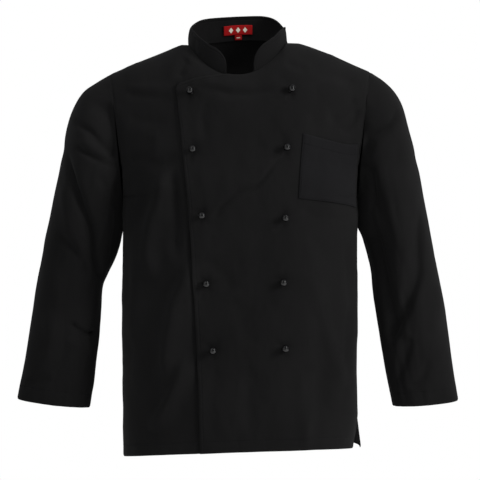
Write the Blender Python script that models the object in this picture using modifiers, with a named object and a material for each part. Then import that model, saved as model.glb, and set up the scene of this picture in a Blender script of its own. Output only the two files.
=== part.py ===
"""Double-breasted chef jacket with a stand collar, filled out as worn by a general figure.

Metres, +Z up. The front faces -Y and the wearer's left side is at +X. The origin lies in the
neck opening, level with the side neck points, where the wearer's shoulders carry the jacket.
Each cloth piece is an open sheet worked out from the sizes below, with Solidify for its wall.
The sheet is the piece's outer face, and the wall grows from it towards the wearer.
"""

import math
from collections import namedtuple

import bmesh
import bpy
from mathutils import Vector

FRONT, BACK = -1, 1  # the face of the torso: the sign of y
RIGHT, LEFT = -1, 1  # the wearer's side: the sign of x

# Cloth walls and the room between pieces.
CLOTH_WALL = 0.0015
COLLAR_WALL = 0.0026
LABEL_WALL = 0.0010
FACE_GAP = 0.00025  # each torso face stands this far from the plane of the side and shoulder seams
ARMHOLE_GAP = 0.0005
COLLAR_GAP = 0.0004
POCKET_GAP = 0.0010
BUTTON_GAP = 0.0004
LAYER_GAP = 0.0011  # between the overlap and the front under it

# Torso: horizontal sections from the hem to the armpit.
ARMPIT_Z = -0.270
TORSO_POWER = 2.6  # 2 is an ellipse, more is boxier
Section = namedtuple("Section", "z half_width front back")
TORSO = (
    Section(z=-0.740, half_width=0.2110, front=0.127, back=0.112),
    Section(z=-0.600, half_width=0.2112, front=0.127, back=0.110),
    Section(z=-0.450, half_width=0.2112, front=0.124, back=0.104),
    Section(z=-0.270, half_width=0.2105, front=0.125, back=0.110),
)

# Hem: height at the side seams, and how far the middle of each face is above that.
HEM_SIDE_Z = {RIGHT: -0.738, LEFT: -0.7235}
HEM_RISE = {FRONT: 0.016, BACK: 0.004}
HEM_CURVE = 1.3
VENT_HEIGHT = 0.062
VENT_FLARE = {FRONT: -0.007, BACK: 0.008}  # at the hem of the wearer's left side
VENT_FROM = 0.80  # the flare starts at this share of the half width

# Shoulders and armholes.
SHOULDER_Y = 0.004
SHOULDER_POINT = {RIGHT: (-0.234, -0.052), LEFT: (0.234, -0.048)}  # x, z
SHOULDER_FLAT = 0.450  # the share of the shoulder line that is level, beside the neck
SHOULDER_CURVE = {RIGHT: 1.08, LEFT: 1.20}  # 1 is a straight slope from there to the shoulder point
ARMHOLE_DEPTH = {FRONT: 0.064, BACK: 0.062}
ARMHOLE_BOW = 0.006  # how far the armhole curves in towards the chest
ARMHOLE_POWER = 2.2
CHEST_ROUND_Y = 0.80
CHEST_ROUND_Z = 0.85
CHEST_FLATNESS = 3.2
CHEST_BLEND = 0.45  # the share of the climb over which the torso section turns into the chest's

# Neckline: a rounded outline in plan, cut down through the shoulders.
NECK_CENTRE = (-0.005, 0.002)
NECK_HALF_WIDTH = 0.087
NECK_DEPTH = {FRONT: 0.084, BACK: 0.060}
NECK_POWER = 2.4
NECK_RISE = {FRONT: -0.015, BACK: 0.052}  # how the torso runs up or down into the neck
LEFT_NECK_RISE = 0.0040  # the wearer's left side neck point is this much higher

# Overlap: the free edge and top edge of the wearer's left front. The right front mirrors them.
EdgePoint = namedtuple("EdgePoint", "z x")
OVERLAP_EDGE = (
    EdgePoint(z=-0.740, x=-0.0685),
    EdgePoint(z=-0.592, x=-0.0726),
    EdgePoint(z=-0.407, x=-0.0810),
    EdgePoint(z=-0.268, x=-0.0915),
    EdgePoint(z=-0.151, x=-0.1030),
    EdgePoint(z=-0.080, x=-0.1115),
)
EDGE_GUESS = -0.4  # a first share of the half width, to find the edge from
FLAP_START_X = -0.0235  # the top edge leaves the neckline here
FLAP_START_Z = -0.0555
FLAP_LENGTH = 0.088
FLAP_DROP = 0.018
FLAP_CURVE = 1.8
FLAP_RISE = 0.44  # the share of the chest's climb that is below the flap's corner
LIFT_FADE_X = (0.113, 0.140)  # the overlap comes down to the torso between these
LIFT_FADE_Z = (-0.045, -0.020)

# Collar.
CollarHeight = namedtuple("CollarHeight", "z height")  # z is degrees around from the middle back
COLLAR_HEIGHTS = (
    CollarHeight(z=0, height=0.0440),
    CollarHeight(z=40, height=0.0435),
    CollarHeight(z=60, height=0.0390),
    CollarHeight(z=80, height=0.0310),
    CollarHeight(z=100, height=0.0295),
    CollarHeight(z=120, height=0.0330),
    CollarHeight(z=140, height=0.0385),
    CollarHeight(z=160, height=0.0415),
    CollarHeight(z=180, height=0.0420),
)
COLLAR_END_X = 0.0238
COLLAR_CORNER = 0.025  # radius of the front corners
COLLAR_LEAN = Vector((0.0, -0.10, 1.0)).normalized()
CORNER_PLACES = (0.0015, 0.005, 0.010, 0.017, COLLAR_CORNER)  # from each end, to draw the corners through
CLOSEST_PLACES = 0.001

# Pocket corners on the wearer's left chest.
Corner = namedtuple("Corner", "x z")
POCKET_CORNERS = {
    "top_inner": Corner(x=0.1095, z=-0.160),
    "top_outer": Corner(x=0.2080, z=-0.176),
    "bottom_inner": Corner(x=0.1015, z=-0.272),
    "bottom_outer": Corner(x=0.2040, z=-0.290),
}

# Label and size tab, on the inside of the collar at the back.
Patch = namedtuple("Patch", "x_from x_to low high")
NECK_LABEL = Patch(x_from=-0.0300, x_to=0.0230, low=0.0120, high=0.0300)
SIZE_TAB = Patch(x_from=-0.0095, x_to=0.0035, low=0.0020, high=0.0114)

# Ball studs: places on the overlap, and the turned profile from the cloth outwards.
ButtonRow = namedtuple("ButtonRow", "right_x right_z left_x left_z")
BUTTON_ROWS = (
    ButtonRow(right_x=-0.0853, right_z=-0.0868, left_x=0.0885, left_z=-0.0836),
    ButtonRow(right_x=-0.0801, right_z=-0.1873, left_x=0.0801, left_z=-0.1841),
    ButtonRow(right_x=-0.0648, right_z=-0.3013, left_x=0.0775, left_z=-0.3056),
    ButtonRow(right_x=-0.0574, right_z=-0.4200, left_x=0.0744, left_z=-0.4178),
    ButtonRow(right_x=-0.0463, right_z=-0.5362, left_x=0.0777, left_z=-0.5330),
)
BALL_RADIUS = 0.0070
FOOT_RADIUS = 0.0040
FOOT_HEIGHT = 0.0008
NECK_RADIUS = 0.0024
BALL_BASE = 0.0018  # height of the ball's flat underside
BALL_FLAT = 0.0035  # radius of that flat

# Sleeves: rings from the shoulder to the cuff. Each has its outer and inner point in the front
# view, the depth of its middle, its half depth, and how much lower its front is than its middle.
Ring = namedtuple("Ring", "out_x out_z in_x in_z y depth dip")
SLEEVE_RINGS = {
    RIGHT: (
        Ring(out_x=-0.258, out_z=-0.067, in_x=-0.2120, in_z=-0.283, y=0.001, depth=0.069, dip=0.000),
        Ring(out_x=-0.281, out_z=-0.084, in_x=-0.2125, in_z=-0.297, y=0.001, depth=0.073, dip=0.000),
        Ring(out_x=-0.298, out_z=-0.112, in_x=-0.2130, in_z=-0.312, y=0.001, depth=0.075, dip=0.001),
        Ring(out_x=-0.310, out_z=-0.148, in_x=-0.2135, in_z=-0.328, y=0.001, depth=0.074, dip=0.002),
        Ring(out_x=-0.321, out_z=-0.205, in_x=-0.2155, in_z=-0.352, y=0.001, depth=0.072, dip=0.003),
        Ring(out_x=-0.334, out_z=-0.265, in_x=-0.2255, in_z=-0.382, y=0.002, depth=0.068, dip=0.004),
        Ring(out_x=-0.350, out_z=-0.343, in_x=-0.2385, in_z=-0.410, y=0.003, depth=0.063, dip=0.004),
        Ring(out_x=-0.362, out_z=-0.405, in_x=-0.2475, in_z=-0.434, y=0.003, depth=0.059, dip=0.004),
        Ring(out_x=-0.371, out_z=-0.460, in_x=-0.2495, in_z=-0.474, y=0.002, depth=0.055, dip=0.004),
        Ring(out_x=-0.380, out_z=-0.520, in_x=-0.2545, in_z=-0.532, y=-0.001, depth=0.050, dip=0.004),
        Ring(out_x=-0.391, out_z=-0.580, in_x=-0.2620, in_z=-0.592, y=-0.005, depth=0.045, dip=0.004),
        Ring(out_x=-0.402, out_z=-0.633, in_x=-0.2705, in_z=-0.649, y=-0.009, depth=0.040, dip=0.001),
    ),
    LEFT: (
        Ring(out_x=0.256, out_z=-0.062, in_x=0.2120, in_z=-0.282, y=0.001, depth=0.069, dip=0.000),
        Ring(out_x=0.278, out_z=-0.083, in_x=0.2125, in_z=-0.294, y=0.001, depth=0.073, dip=0.000),
        Ring(out_x=0.293, out_z=-0.110, in_x=0.2130, in_z=-0.306, y=0.001, depth=0.075, dip=0.001),
        Ring(out_x=0.304, out_z=-0.150, in_x=0.2145, in_z=-0.322, y=0.001, depth=0.074, dip=0.002),
        Ring(out_x=0.319, out_z=-0.210, in_x=0.2205, in_z=-0.348, y=0.001, depth=0.072, dip=0.003),
        Ring(out_x=0.331, out_z=-0.275, in_x=0.2290, in_z=-0.378, y=0.002, depth=0.068, dip=0.004),
        Ring(out_x=0.345, out_z=-0.348, in_x=0.2345, in_z=-0.408, y=0.003, depth=0.063, dip=0.004),
        Ring(out_x=0.357, out_z=-0.408, in_x=0.2370, in_z=-0.436, y=0.003, depth=0.059, dip=0.004),
        Ring(out_x=0.3675, out_z=-0.462, in_x=0.2425, in_z=-0.474, y=0.002, depth=0.055, dip=0.004),
        Ring(out_x=0.3755, out_z=-0.520, in_x=0.2525, in_z=-0.532, y=-0.001, depth=0.050, dip=0.004),
        Ring(out_x=0.3845, out_z=-0.580, in_x=0.2640, in_z=-0.592, y=-0.005, depth=0.045, dip=0.004),
        Ring(out_x=0.3935, out_z=-0.636, in_x=0.2750, in_z=-0.646, y=-0.009, depth=0.042, dip=0.001),
    ),
}
SLEEVE_POWER = 2.15
ELBOW_RING = 6

# Largest folds. On the torso a path runs through x, z places. On a sleeve it runs through places
# around, z: around is 0 at the outer line, 90 at the front, 180 inside and 270 behind.
# height is above the smooth form: plus is a ridge, minus a trough.
Fold = namedtuple("Fold", "path width height")
FRONT_FOLDS = (
    Fold(path=((-0.095, -0.360), (-0.125, -0.480), (-0.155, -0.680)), width=0.020, height=-0.0050),
    Fold(path=((-0.125, -0.300), (-0.160, -0.420), (-0.175, -0.560)), width=0.022, height=0.0030),
    Fold(path=((0.070, -0.215), (0.020, -0.262), (-0.030, -0.300)), width=0.012, height=-0.0030),
    Fold(path=((0.100, -0.420), (0.122, -0.560), (0.120, -0.690)), width=0.022, height=-0.0040),
)
BACK_FOLDS = (
    Fold(path=((-0.060, -0.330), (-0.075, -0.500), (-0.070, -0.700)), width=0.024, height=-0.0050),
    Fold(path=((0.075, -0.300), (0.065, -0.480), (0.085, -0.690)), width=0.022, height=-0.0045),
)
SLEEVE_FOLDS = {
    RIGHT: (
        Fold(path=((46, -0.214), (66, -0.260), (97, -0.325), (138, -0.402)), width=0.014, height=-0.0060),
        Fold(path=((35, -0.150), (80, -0.175), (125, -0.215)), width=0.012, height=-0.0040),
        Fold(path=((200, -0.400), (245, -0.420), (300, -0.400)), width=0.014, height=-0.0050),
    ),
    LEFT: (
        Fold(path=((25, -0.110), (70, -0.140), (120, -0.185)), width=0.012, height=-0.0050),
        Fold(path=((48, -0.330), (52, -0.420), (90, -0.500), (110, -0.560)), width=0.014, height=-0.0050),
        Fold(path=((200, -0.400), (245, -0.430), (300, -0.415)), width=0.014, height=-0.0050),
    ),
}
SLEEVE_RADIUS = 0.060  # turns degrees around a sleeve into metres of cloth
FOLD_ENDS = 0.25  # the share of a fold over which each end fades in

# Mesh counts.
SKIRT_ROWS = 10
CHEST_ROWS = 10
SIDE_COLUMNS = 7
NECK_COLUMNS = 14
SEAM_STRIP = 0.02  # the share of a face in the narrow strip beside a seam
COLLAR_ROWS = 5
POCKET_CELLS = 12
STUD_STEPS = 14
PATCH_COLUMNS = 4
BALL_ARCS = 8
BISECTIONS = 40
SLOPE_STEP = 0.01  # of a level or a share, to measure the torso's slope over
CLIMB_EASE = 0.7  # how much of the way to go at each try
SHARP_ANGLE = 50

COLOURS = {
    "black_cloth": ((0.012, 0.012, 0.014), 0.82),
    "pocket_cloth": ((0.014, 0.014, 0.018), 0.82),
    "black_ball": ((0.006, 0.006, 0.006), 0.12),
    "red_label": ((0.350, 0.010, 0.014), 0.70),
}


# ---------------------------------------------------------------- small maths


def blend(a, b, share):
    return a + (b - a) * share


def smooth(value):
    """0 below 0, 1 above 1, and a soft step between."""
    value = min(1.0, max(0.0, value))
    return value * value * (3 - 2 * value)


def fade(value, span):
    """1 up to span's first value and 0 past its second."""
    return 1 - smooth((value - span[0]) / (span[1] - span[0]))


def read_table(rows, column, z):
    """A column of a table whose rows rise in z, at that z."""
    for low, high in zip(rows, rows[1:]):
        if z <= high.z:
            break
    share = min(1.0, max(0.0, (z - low.z) / (high.z - low.z)))
    return blend(getattr(low, column), getattr(high, column), share)


def roundness(turn, power):
    """How far a rounded outline of half size 1 reaches at that turn."""
    return (abs(math.sin(turn)) ** power + abs(math.cos(turn)) ** power) ** (-1 / power)


def share_at(turn):
    """The share of the half width at a turn from the middle of a face (0) to its side (90 degrees)."""
    return math.sin(turn) * roundness(turn, TORSO_POWER)


def turn_at(share):
    """The turn whose share_at is that share."""
    depth = max(0.0, 1 - abs(share) ** TORSO_POWER) ** (1 / TORSO_POWER)
    return math.atan2(share, depth)


def bisect(wrong, low, high):
    """The place between low and high where wrong changes from above zero to below it."""
    for _ in range(BISECTIONS):
        middle = (low + high) / 2
        if wrong(middle) > 0:
            low = middle
        else:
            high = middle
    return (low + high) / 2


# ---------------------------------------------------------------- the form


def hem_z(face, share):
    across = blend(HEM_SIDE_Z[RIGHT], HEM_SIDE_Z[LEFT], (share + 1) / 2)
    return across + HEM_RISE[face] * (1 - abs(share) ** TORSO_POWER) ** (HEM_CURVE / TORSO_POWER)


def armhole_point(side, face, turn):
    """The armhole seam: turn is 0 at the shoulder point and 180 degrees at the armpit."""
    x, z = SHOULDER_POINT[side]
    top = Vector((x, SHOULDER_Y, z))
    bottom = Vector((side * TORSO[-1].half_width, 0.0, ARMPIT_Z))
    reach = roundness(turn, ARMHOLE_POWER)
    out = Vector((-side * ARMHOLE_BOW, face * ARMHOLE_DEPTH[face], 0.0))
    return (top + bottom) / 2 + (top - bottom) / 2 * math.cos(turn) * reach + out * math.sin(turn) * reach


def skirt_point(face, share, level):
    """The torso below the armpit: level is 0 at the hem and 1 at the armpit."""
    z = blend(hem_z(face, share), ARMPIT_Z, level)
    depth = read_table(TORSO, "front" if face == FRONT else "back", z)
    half_width = read_table(TORSO, "half_width", z)
    turn = turn_at(share)
    point = Vector((half_width * share, face * depth * math.cos(turn) * roundness(turn, TORSO_POWER), z))
    vent = max(0.0, 1 - (z - hem_z(face, share)) / VENT_HEIGHT)
    point.x += VENT_FLARE[face] * vent * smooth((share - VENT_FROM) / (1 - VENT_FROM))
    return point


def neck_side_x(side):
    return NECK_CENTRE[0] + side * NECK_HALF_WIDTH


def chest_point(face, share, rise):
    """The torso above the armpit: rise is 0 at the armpit and 1 at the shoulder seam."""
    side = LEFT if share >= 0 else RIGHT
    climb = rise * math.pi / 2
    edge = armhole_point(side, face, math.pi - 2 * climb)
    depth = TORSO[-1].front if face == FRONT else TORSO[-1].back
    lift = math.sin(climb) ** 2
    middle_y = blend(SHOULDER_Y, face * depth, max(0.0, math.cos(climb)) ** CHEST_ROUND_Y)
    middle_z = blend(ARMPIT_Z, 0.0, math.sin(climb) ** CHEST_ROUND_Z)
    share = abs(share)
    round_y = math.cos(turn_at(share)) * roundness(turn_at(share), TORSO_POWER)
    flat_y = 1 - share**CHEST_FLATNESS
    y = blend(edge.y, middle_y, blend(round_y, flat_y, smooth(rise / CHEST_BLEND)))
    start = SHOULDER_FLAT * lift
    slope = max(0.0, (share - start) / (1 - start)) ** SHOULDER_CURVE[side]
    neck_share = abs(neck_side_x(side) / SHOULDER_POINT[side][0])
    into_neck = max(0.0, 1 - (share / neck_share) ** 2)
    z = blend(middle_z, edge.z, slope) + NECK_RISE[face] * lift * into_neck
    if side == LEFT:
        z += LEFT_NECK_RISE * lift * smooth(share / neck_share) * (1 - slope) ** 2
    return Vector((edge.x * share, y, z))


def torso_point(face, share, level):
    """The whole of one face: level is 0 at the hem, 1 at the armpit and 2 at the shoulder seam."""
    if level <= 1:
        return skirt_point(face, share, level)
    return chest_point(face, share, level - 1)


def outside_neck(face, point):
    """Above zero outside the neckline's outline in plan, below zero inside it."""
    across = abs(point.x - NECK_CENTRE[0]) / NECK_HALF_WIDTH
    along = abs(point.y - NECK_CENTRE[1]) / NECK_DEPTH[face]
    return across**NECK_POWER + along**NECK_POWER - 1


def neck_level(face, share):
    """The level at which a column of the torso meets the neckline, or 2 at the shoulder seam."""
    if outside_neck(face, torso_point(face, share, 2.0)) >= 0:
        return 2.0
    return bisect(lambda level: outside_neck(face, torso_point(face, share, level)), 1.0, 2.0)


def flap_z(x):
    """The overlap's top edge at x, which runs towards -X from the neckline."""
    along = max(0.0, (FLAP_START_X - x) / FLAP_LENGTH)
    return FLAP_START_Z - FLAP_DROP * along**FLAP_CURVE


def place_on_front(x, z):
    """The share and level of the front's place that is at x, z in the front view."""
    share, level = x / TORSO[-1].half_width, 1.0
    for _ in range(BISECTIONS):
        here = torso_point(FRONT, share, level)
        if abs(here.z - z) < 1e-6 and abs(here.x - x) < 1e-6:
            break
        share = min(0.999, max(-0.999, share + (x - here.x) / TORSO[-1].half_width))
        climb = torso_point(FRONT, share, min(2.0, level + SLOPE_STEP)).z - torso_point(FRONT, share, level).z
        move = CLIMB_EASE * SLOPE_STEP * (z - here.z) / max(climb, 1e-5)
        level = min(1.99, max(0.0, level + move))
    return share, level


def overlap_turn(level):
    """How far round from the middle of the front the overlap's free edge lies, at that level."""
    share = EDGE_GUESS
    for _ in range(8):
        here = torso_point(FRONT, share, level)
        share *= read_table(OVERLAP_EDGE, "x", here.z) / here.x
    return turn_at(-share)


def front_share(column, level):
    """The share of a front column: -1 and 1 are the two free edges, -2 and 2 the side seams."""
    edge = overlap_turn(level)
    if abs(column) <= 1:
        return share_at(edge * column)
    return share_at(math.copysign(blend(edge, math.pi / 2, abs(column) - 1), column))


def fold_height(folds, across, z):
    """How far all the folds together move the cloth out at a place."""
    total = 0.0
    for fold in folds:
        steps = len(fold.path) - 1
        nearest, along = 1.0, 0.0
        for i, (start, end) in enumerate(zip(fold.path, fold.path[1:])):
            run = (end[0] - start[0], end[1] - start[1])
            to = (across - start[0], z - start[1])
            share = (to[0] * run[0] + to[1] * run[1]) / (run[0] ** 2 + run[1] ** 2)
            share = min(1.0, max(0.0, share))
            away = math.hypot(to[0] - run[0] * share, to[1] - run[1] * share)
            if away < nearest:
                nearest, along = away, (i + share) / steps
        ends = smooth(along / FOLD_ENDS) * smooth((1 - along) / FOLD_ENDS)
        total += fold.height * math.exp(-((nearest / fold.width) ** 2)) * ends
    return total


def unrolled(fold):
    """A sleeve's fold with its places around in metres instead of degrees."""
    path = tuple((math.radians(around) * SLEEVE_RADIUS, z) for around, z in fold.path)
    return fold._replace(path=path)


# ---------------------------------------------------------------- building


def material(name):
    colour, roughness = COLOURS[name]
    made = bpy.data.materials.get(name)
    if made is None:
        made = bpy.data.materials.new(name)
        made.use_nodes = True
        shader = made.node_tree.nodes["Principled BSDF"]
        shader.inputs["Base Color"].default_value = (*colour, 1.0)
        shader.inputs["Roughness"].default_value = roughness
        shader.inputs["Metallic"].default_value = 0.0
        made.diffuse_color = (*colour, 1.0)
    return made


def sheet(name, rows, outward, closed=False):
    """A mesh object through rows of points. outward is a function that says which way is out at a point."""
    count = len(rows[0])
    faces = []
    for j in range(len(rows) - 1):
        for i in range(count if closed else count - 1):
            k = (i + 1) % count
            faces.append((j * count + i, j * count + k, (j + 1) * count + k, (j + 1) * count + i))
    mesh = bpy.data.meshes.new(name)
    mesh.from_pydata([p for row in rows for p in row], [], faces)
    middle = mesh.polygons[len(mesh.polygons) // 2]
    if middle.normal.dot(outward(middle.center)) < 0:
        mesh.flip_normals()
    mesh.update()
    made = bpy.data.objects.new(name, mesh)
    COLLECTION.objects.link(made)
    return made


def move_out(made, distance):
    """Moves each point of a sheet along its normal by distance, a function of its place in the sheet."""
    moves = [vertex.normal * distance(vertex) for vertex in made.data.vertices]
    for vertex, move in zip(made.data.vertices, moves):
        vertex.co += move
    made.data.update()


def finish_cloth(made, wall, slot):
    """Gives a sheet its wall, inwards from its outer face, and its material."""
    modifier = made.modifiers.new("wall", "SOLIDIFY")
    modifier.thickness = wall
    modifier.offset = -1.0
    made.data.materials.append(material(slot))
    made.data.shade_smooth()
    made.data.set_sharp_from_angle(angle=math.radians(SHARP_ANGLE))
    return made


def from_axis(point):
    """Outward on the torso and collar: away from the upright axis."""
    return Vector((point.x, point.y, 0.0))


def even(start, end, count):
    return [blend(start, end, i / count) for i in range(count + 1)]


def eased(start, end, count):
    """Values from start to end, closer together near both ends."""
    return [blend(start, end, (1 - math.cos(math.pi * i / count)) / 2) for i in range(count + 1)]


def neck_side_turn(side):
    """The turn of the column that ends at the side neck point."""
    return turn_at(neck_side_x(side) / abs(SHOULDER_POINT[side][0]))


def chest_rises():
    """Rows up the chest, with one more close to the shoulder seam so that the walls meet square."""
    low = even(0.0, FLAP_RISE, CHEST_ROWS // 2)
    return low + even(FLAP_RISE, 1.0, CHEST_ROWS // 2)[1:-1] + [1 - SEAM_STRIP, 1.0]


def column_levels(top):
    """The levels of a column that ends at top. Those below the flap are the same in every column."""
    levels = even(0.0, 1.0, SKIRT_ROWS)
    for rise in chest_rises()[1:]:
        above = max(0.0, (rise - FLAP_RISE) / (1 - FLAP_RISE))
        levels.append(1 + min(rise, FLAP_RISE) + (top - 1 - FLAP_RISE) * above)
    return levels


def side_steps():
    """Steps from a side seam (1) inwards (0), with a narrow one beside the seam."""
    return [1.0, 1 - SEAM_STRIP] + even(1.0, 0.0, SIDE_COLUMNS)[1:]


def grid_rows(face, columns):
    """Rows of points from columns, each of which is a list of shares and levels."""
    count = len(columns[0])
    rows = [[torso_point(face, *column[j]) for column in columns] for j in range(count)]
    return [[point + Vector((0.0, face * FACE_GAP, 0.0)) for point in row] for row in rows]


def make_back():
    necks = [neck_side_turn(RIGHT), neck_side_turn(LEFT)]
    turns = [blend(necks[0], -math.pi / 2, step) for step in side_steps()]
    turns += eased(*necks, NECK_COLUMNS)[1:-1]
    turns += [blend(necks[1], math.pi / 2, step) for step in side_steps()[::-1]]
    columns = []
    for turn in turns:
        share = share_at(turn)
        columns.append([(share, level) for level in column_levels(neck_level(BACK, share))])
    made = sheet("back", grid_rows(BACK, columns), from_axis)
    move_out(made, lambda vertex: fold_height(BACK_FOLDS, vertex.co.x, vertex.co.z))
    return finish_cloth(made, CLOTH_WALL, "black_cloth")


def front_columns():
    necks = [neck_side_turn(side) / overlap_turn(2.0) for side in (RIGHT, LEFT)]
    sides = [1 + step for step in side_steps()]
    return [-column for column in sides] + eased(*necks, NECK_COLUMNS) + sides[::-1]


def front_top(mirror, column):
    """The level at which a front's column ends: at the shoulder seam, the neckline or the flap's top edge."""

    def place(level):
        return torso_point(FRONT, front_share(column, level), level)

    top = 2.0
    if outside_neck(FRONT, place(top)) < 0:
        top = bisect(lambda level: outside_neck(FRONT, place(level)), 1.0, 2.0)
    if place(top).x * mirror < FLAP_START_X and column * mirror < 0:
        top = min(top, bisect(lambda level: flap_z(place(level).x * mirror) - place(level).z, 1.0, 2.0))
    return top


def make_front(name, mirror, lift):
    """One front, from its side seam to its free edge. mirror is 1 for the wearer's left, -1 for the right."""
    places = []
    for column in sorted(front_columns(), key=lambda column: -column * mirror):
        if column * mirror >= -1:
            levels = column_levels(front_top(mirror, column))
            places.append([(front_share(column, level), level) for level in levels])
    made = sheet(name, grid_rows(FRONT, places), from_axis)
    move_out(made, lambda vertex: lift(vertex.co) + fold_height(FRONT_FOLDS, vertex.co.x, vertex.co.z))
    return finish_cloth(made, CLOTH_WALL, "black_cloth")


def overlap_lift(point):
    """How far the overlap stands off the torso, so that the right front fits under it."""
    return (CLOTH_WALL + LAYER_GAP) * fade(point.x, LIFT_FADE_X) * fade(point.z, LIFT_FADE_Z)


def sleeve_ring(side, ring, turn):
    """A point of a sleeve's ring: turn is 0 at the outer line and 90 degrees at the front."""
    out = Vector((ring.out_x, ring.y, ring.out_z))
    inner = Vector((ring.in_x, ring.y, ring.in_z))
    reach = roundness(turn, SLEEVE_POWER)
    forward = Vector((0.0, -ring.depth, -ring.dip))
    return (out + inner) / 2 + (out - inner) / 2 * math.cos(turn) * reach + forward * math.sin(turn) * reach


def make_sleeve(name, side):
    front_turns = [math.pi * (1 - rise) for rise in chest_rises()[::-1]]
    turns = front_turns + [2 * math.pi - turn for turn in front_turns[-2:0:-1]]
    steps = len(turns)
    gap = Vector((side * ARMHOLE_GAP, 0.0, 0.0))
    start = []
    for turn in turns:
        face, from_top = (FRONT, turn) if turn <= math.pi else (BACK, 2 * math.pi - turn)
        start.append(armhole_point(side, face, from_top) + gap)
    rows = [start]
    rows += [[sleeve_ring(side, ring, turn) for turn in turns] for ring in SLEEVE_RINGS[side]]
    elbow = SLEEVE_RINGS[side][ELBOW_RING]
    axis_x = (elbow.out_x + elbow.in_x) / 2
    made = sheet(name, rows, lambda p: Vector((p.x - axis_x, p.y, 0.0)), closed=True)
    folds = [unrolled(fold) for fold in SLEEVE_FOLDS[side]]

    def fold_at(vertex):
        around = turns[vertex.index % steps] * SLEEVE_RADIUS
        seam = smooth(vertex.index // steps / 2)
        return seam * fold_height(folds, around, vertex.co.z)

    move_out(made, fold_at)
    return finish_cloth(made, CLOTH_WALL, "black_cloth")


def top_edge(made, side):
    """The points of a sheet's last row, from the side neck point onwards towards the other side."""
    rows = SKIRT_ROWS + len(chest_rises())
    points = [vertex.co.copy() for vertex in made.data.vertices]
    last = points[-len(points) // rows :]
    if last[0].x * side < last[-1].x * side:
        last.reverse()
    start = min(range(len(last)), key=lambda i: abs(last[i].x - neck_side_x(side)))
    return last[start:]


def cut_short(points, side):
    """A front's neckline from the side neck point, cut off where the collar ends."""
    kept = [points[0]]
    for point in points[1:]:
        if side * point.x <= COLLAR_END_X:
            before = kept[-1]
            share = (before.x - side * COLLAR_END_X) / (before.x - point.x)
            return kept + [before.lerp(point, share)]
        kept.append(point)
    return kept


def neckline(back, right_front, left_front):
    """The collar's base, from its right end round the back to its left end."""
    behind = top_edge(back, RIGHT)[: NECK_COLUMNS + 1]
    right = cut_short(top_edge(right_front, RIGHT), RIGHT)
    left = cut_short(top_edge(left_front, LEFT), LEFT)
    points = right[:0:-1] + behind + left[1:]
    return [point + Vector((0.0, 0.0, COLLAR_GAP)) for point in points]


def with_corners(points):
    """The same line with more points near its ends, where the collar's corners are rounded."""
    along = [0.0]
    for a, b in zip(points, points[1:]):
        along.append(along[-1] + (b - a).length)
    total = along[-1]
    wanted = sorted(set(along) | set(CORNER_PLACES) | {total - place for place in CORNER_PLACES})
    kept = [wanted[0]]
    for place in wanted[1:-1]:
        if place - kept[-1] > CLOSEST_PLACES and total - place > CLOSEST_PLACES:
            kept.append(place)
    kept.append(total)
    line = []
    for place in kept:
        i = min(len(points) - 2, max(k for k, start in enumerate(along) if start <= place))
        share = (place - along[i]) / (along[i + 1] - along[i])
        line.append((place, points[i].lerp(points[i + 1], share)))
    return line


def make_collar(points):
    line = with_corners(points)
    total = line[-1][0]
    rows = []
    for j in range(COLLAR_ROWS + 1):
        row = []
        for place, point in line:
            short = max(0.0, COLLAR_CORNER - min(place, total - place))
            cut = COLLAR_CORNER - math.sqrt(COLLAR_CORNER**2 - short**2)
            around = math.degrees(math.atan2(abs(point.x - NECK_CENTRE[0]), point.y - NECK_CENTRE[1]))
            height = read_table(COLLAR_HEIGHTS, "height", around) - cut
            row.append(point + COLLAR_LEAN * height * j / COLLAR_ROWS)
        rows.append(row)
    made = sheet("collar", rows, from_axis)
    return finish_cloth(made, COLLAR_WALL, "black_cloth")


def make_patch(name, patch, points):
    """A small flat piece on the inside of the collar's back, curved with it."""
    inside = COLLAR_WALL + POCKET_GAP
    behind = [point for point in points if point.y > NECK_CENTRE[1]]
    rows = []
    for height in (patch.low, patch.high):
        row = []
        for x in even(patch.x_from, patch.x_to, PATCH_COLUMNS):
            a, b = next((a, b) for a, b in zip(behind, behind[1:]) if a.x <= x <= b.x)
            point = a.lerp(b, (x - a.x) / (b.x - a.x)) + COLLAR_LEAN * height
            row.append(point - Vector((0.0, inside, 0.0)))
        rows.append(row)
    made = sheet(name, rows, from_axis)
    return finish_cloth(made, LABEL_WALL, "red_label")


def make_pocket():
    place = {name: place_on_front(corner.x, corner.z) for name, corner in POCKET_CORNERS.items()}
    corners = {name: (turn_at(share), level) for name, (share, level) in place.items()}
    rows = []
    for down in even(0.0, 1.0, POCKET_CELLS):
        row = []
        for across in even(0.0, 1.0, POCKET_CELLS):
            ends = []
            for i in (0, 1):
                inner = blend(corners["top_inner"][i], corners["bottom_inner"][i], down)
                outer = blend(corners["top_outer"][i], corners["bottom_outer"][i], down)
                ends.append(blend(inner, outer, across))
            row.append(torso_point(FRONT, share_at(ends[0]), ends[1]))
        rows.append(row)
    made = sheet("chest_pocket", rows, from_axis)
    move_out(made, lambda vertex: overlap_lift(vertex.co) + POCKET_GAP + CLOTH_WALL)
    return finish_cloth(made, CLOTH_WALL, "pocket_cloth")


def stud_profile():
    """The stud's outline from the cloth out, as pairs of radius and height."""
    centre = BALL_BASE + math.sqrt(BALL_RADIUS**2 - BALL_FLAT**2)
    outline = [(0.0, 0.0), (FOOT_RADIUS, 0.0), (FOOT_RADIUS, FOOT_HEIGHT), (NECK_RADIUS, FOOT_HEIGHT)]
    outline += [(NECK_RADIUS, BALL_BASE), (BALL_FLAT, BALL_BASE)]
    start = -math.acos(BALL_FLAT / BALL_RADIUS)
    for angle in even(start, math.pi / 2, BALL_ARCS)[1:-1]:
        outline.append((BALL_RADIUS * math.cos(angle), centre + BALL_RADIUS * math.sin(angle)))
    outline.append((0.0, centre + BALL_RADIUS))
    return outline


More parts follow.
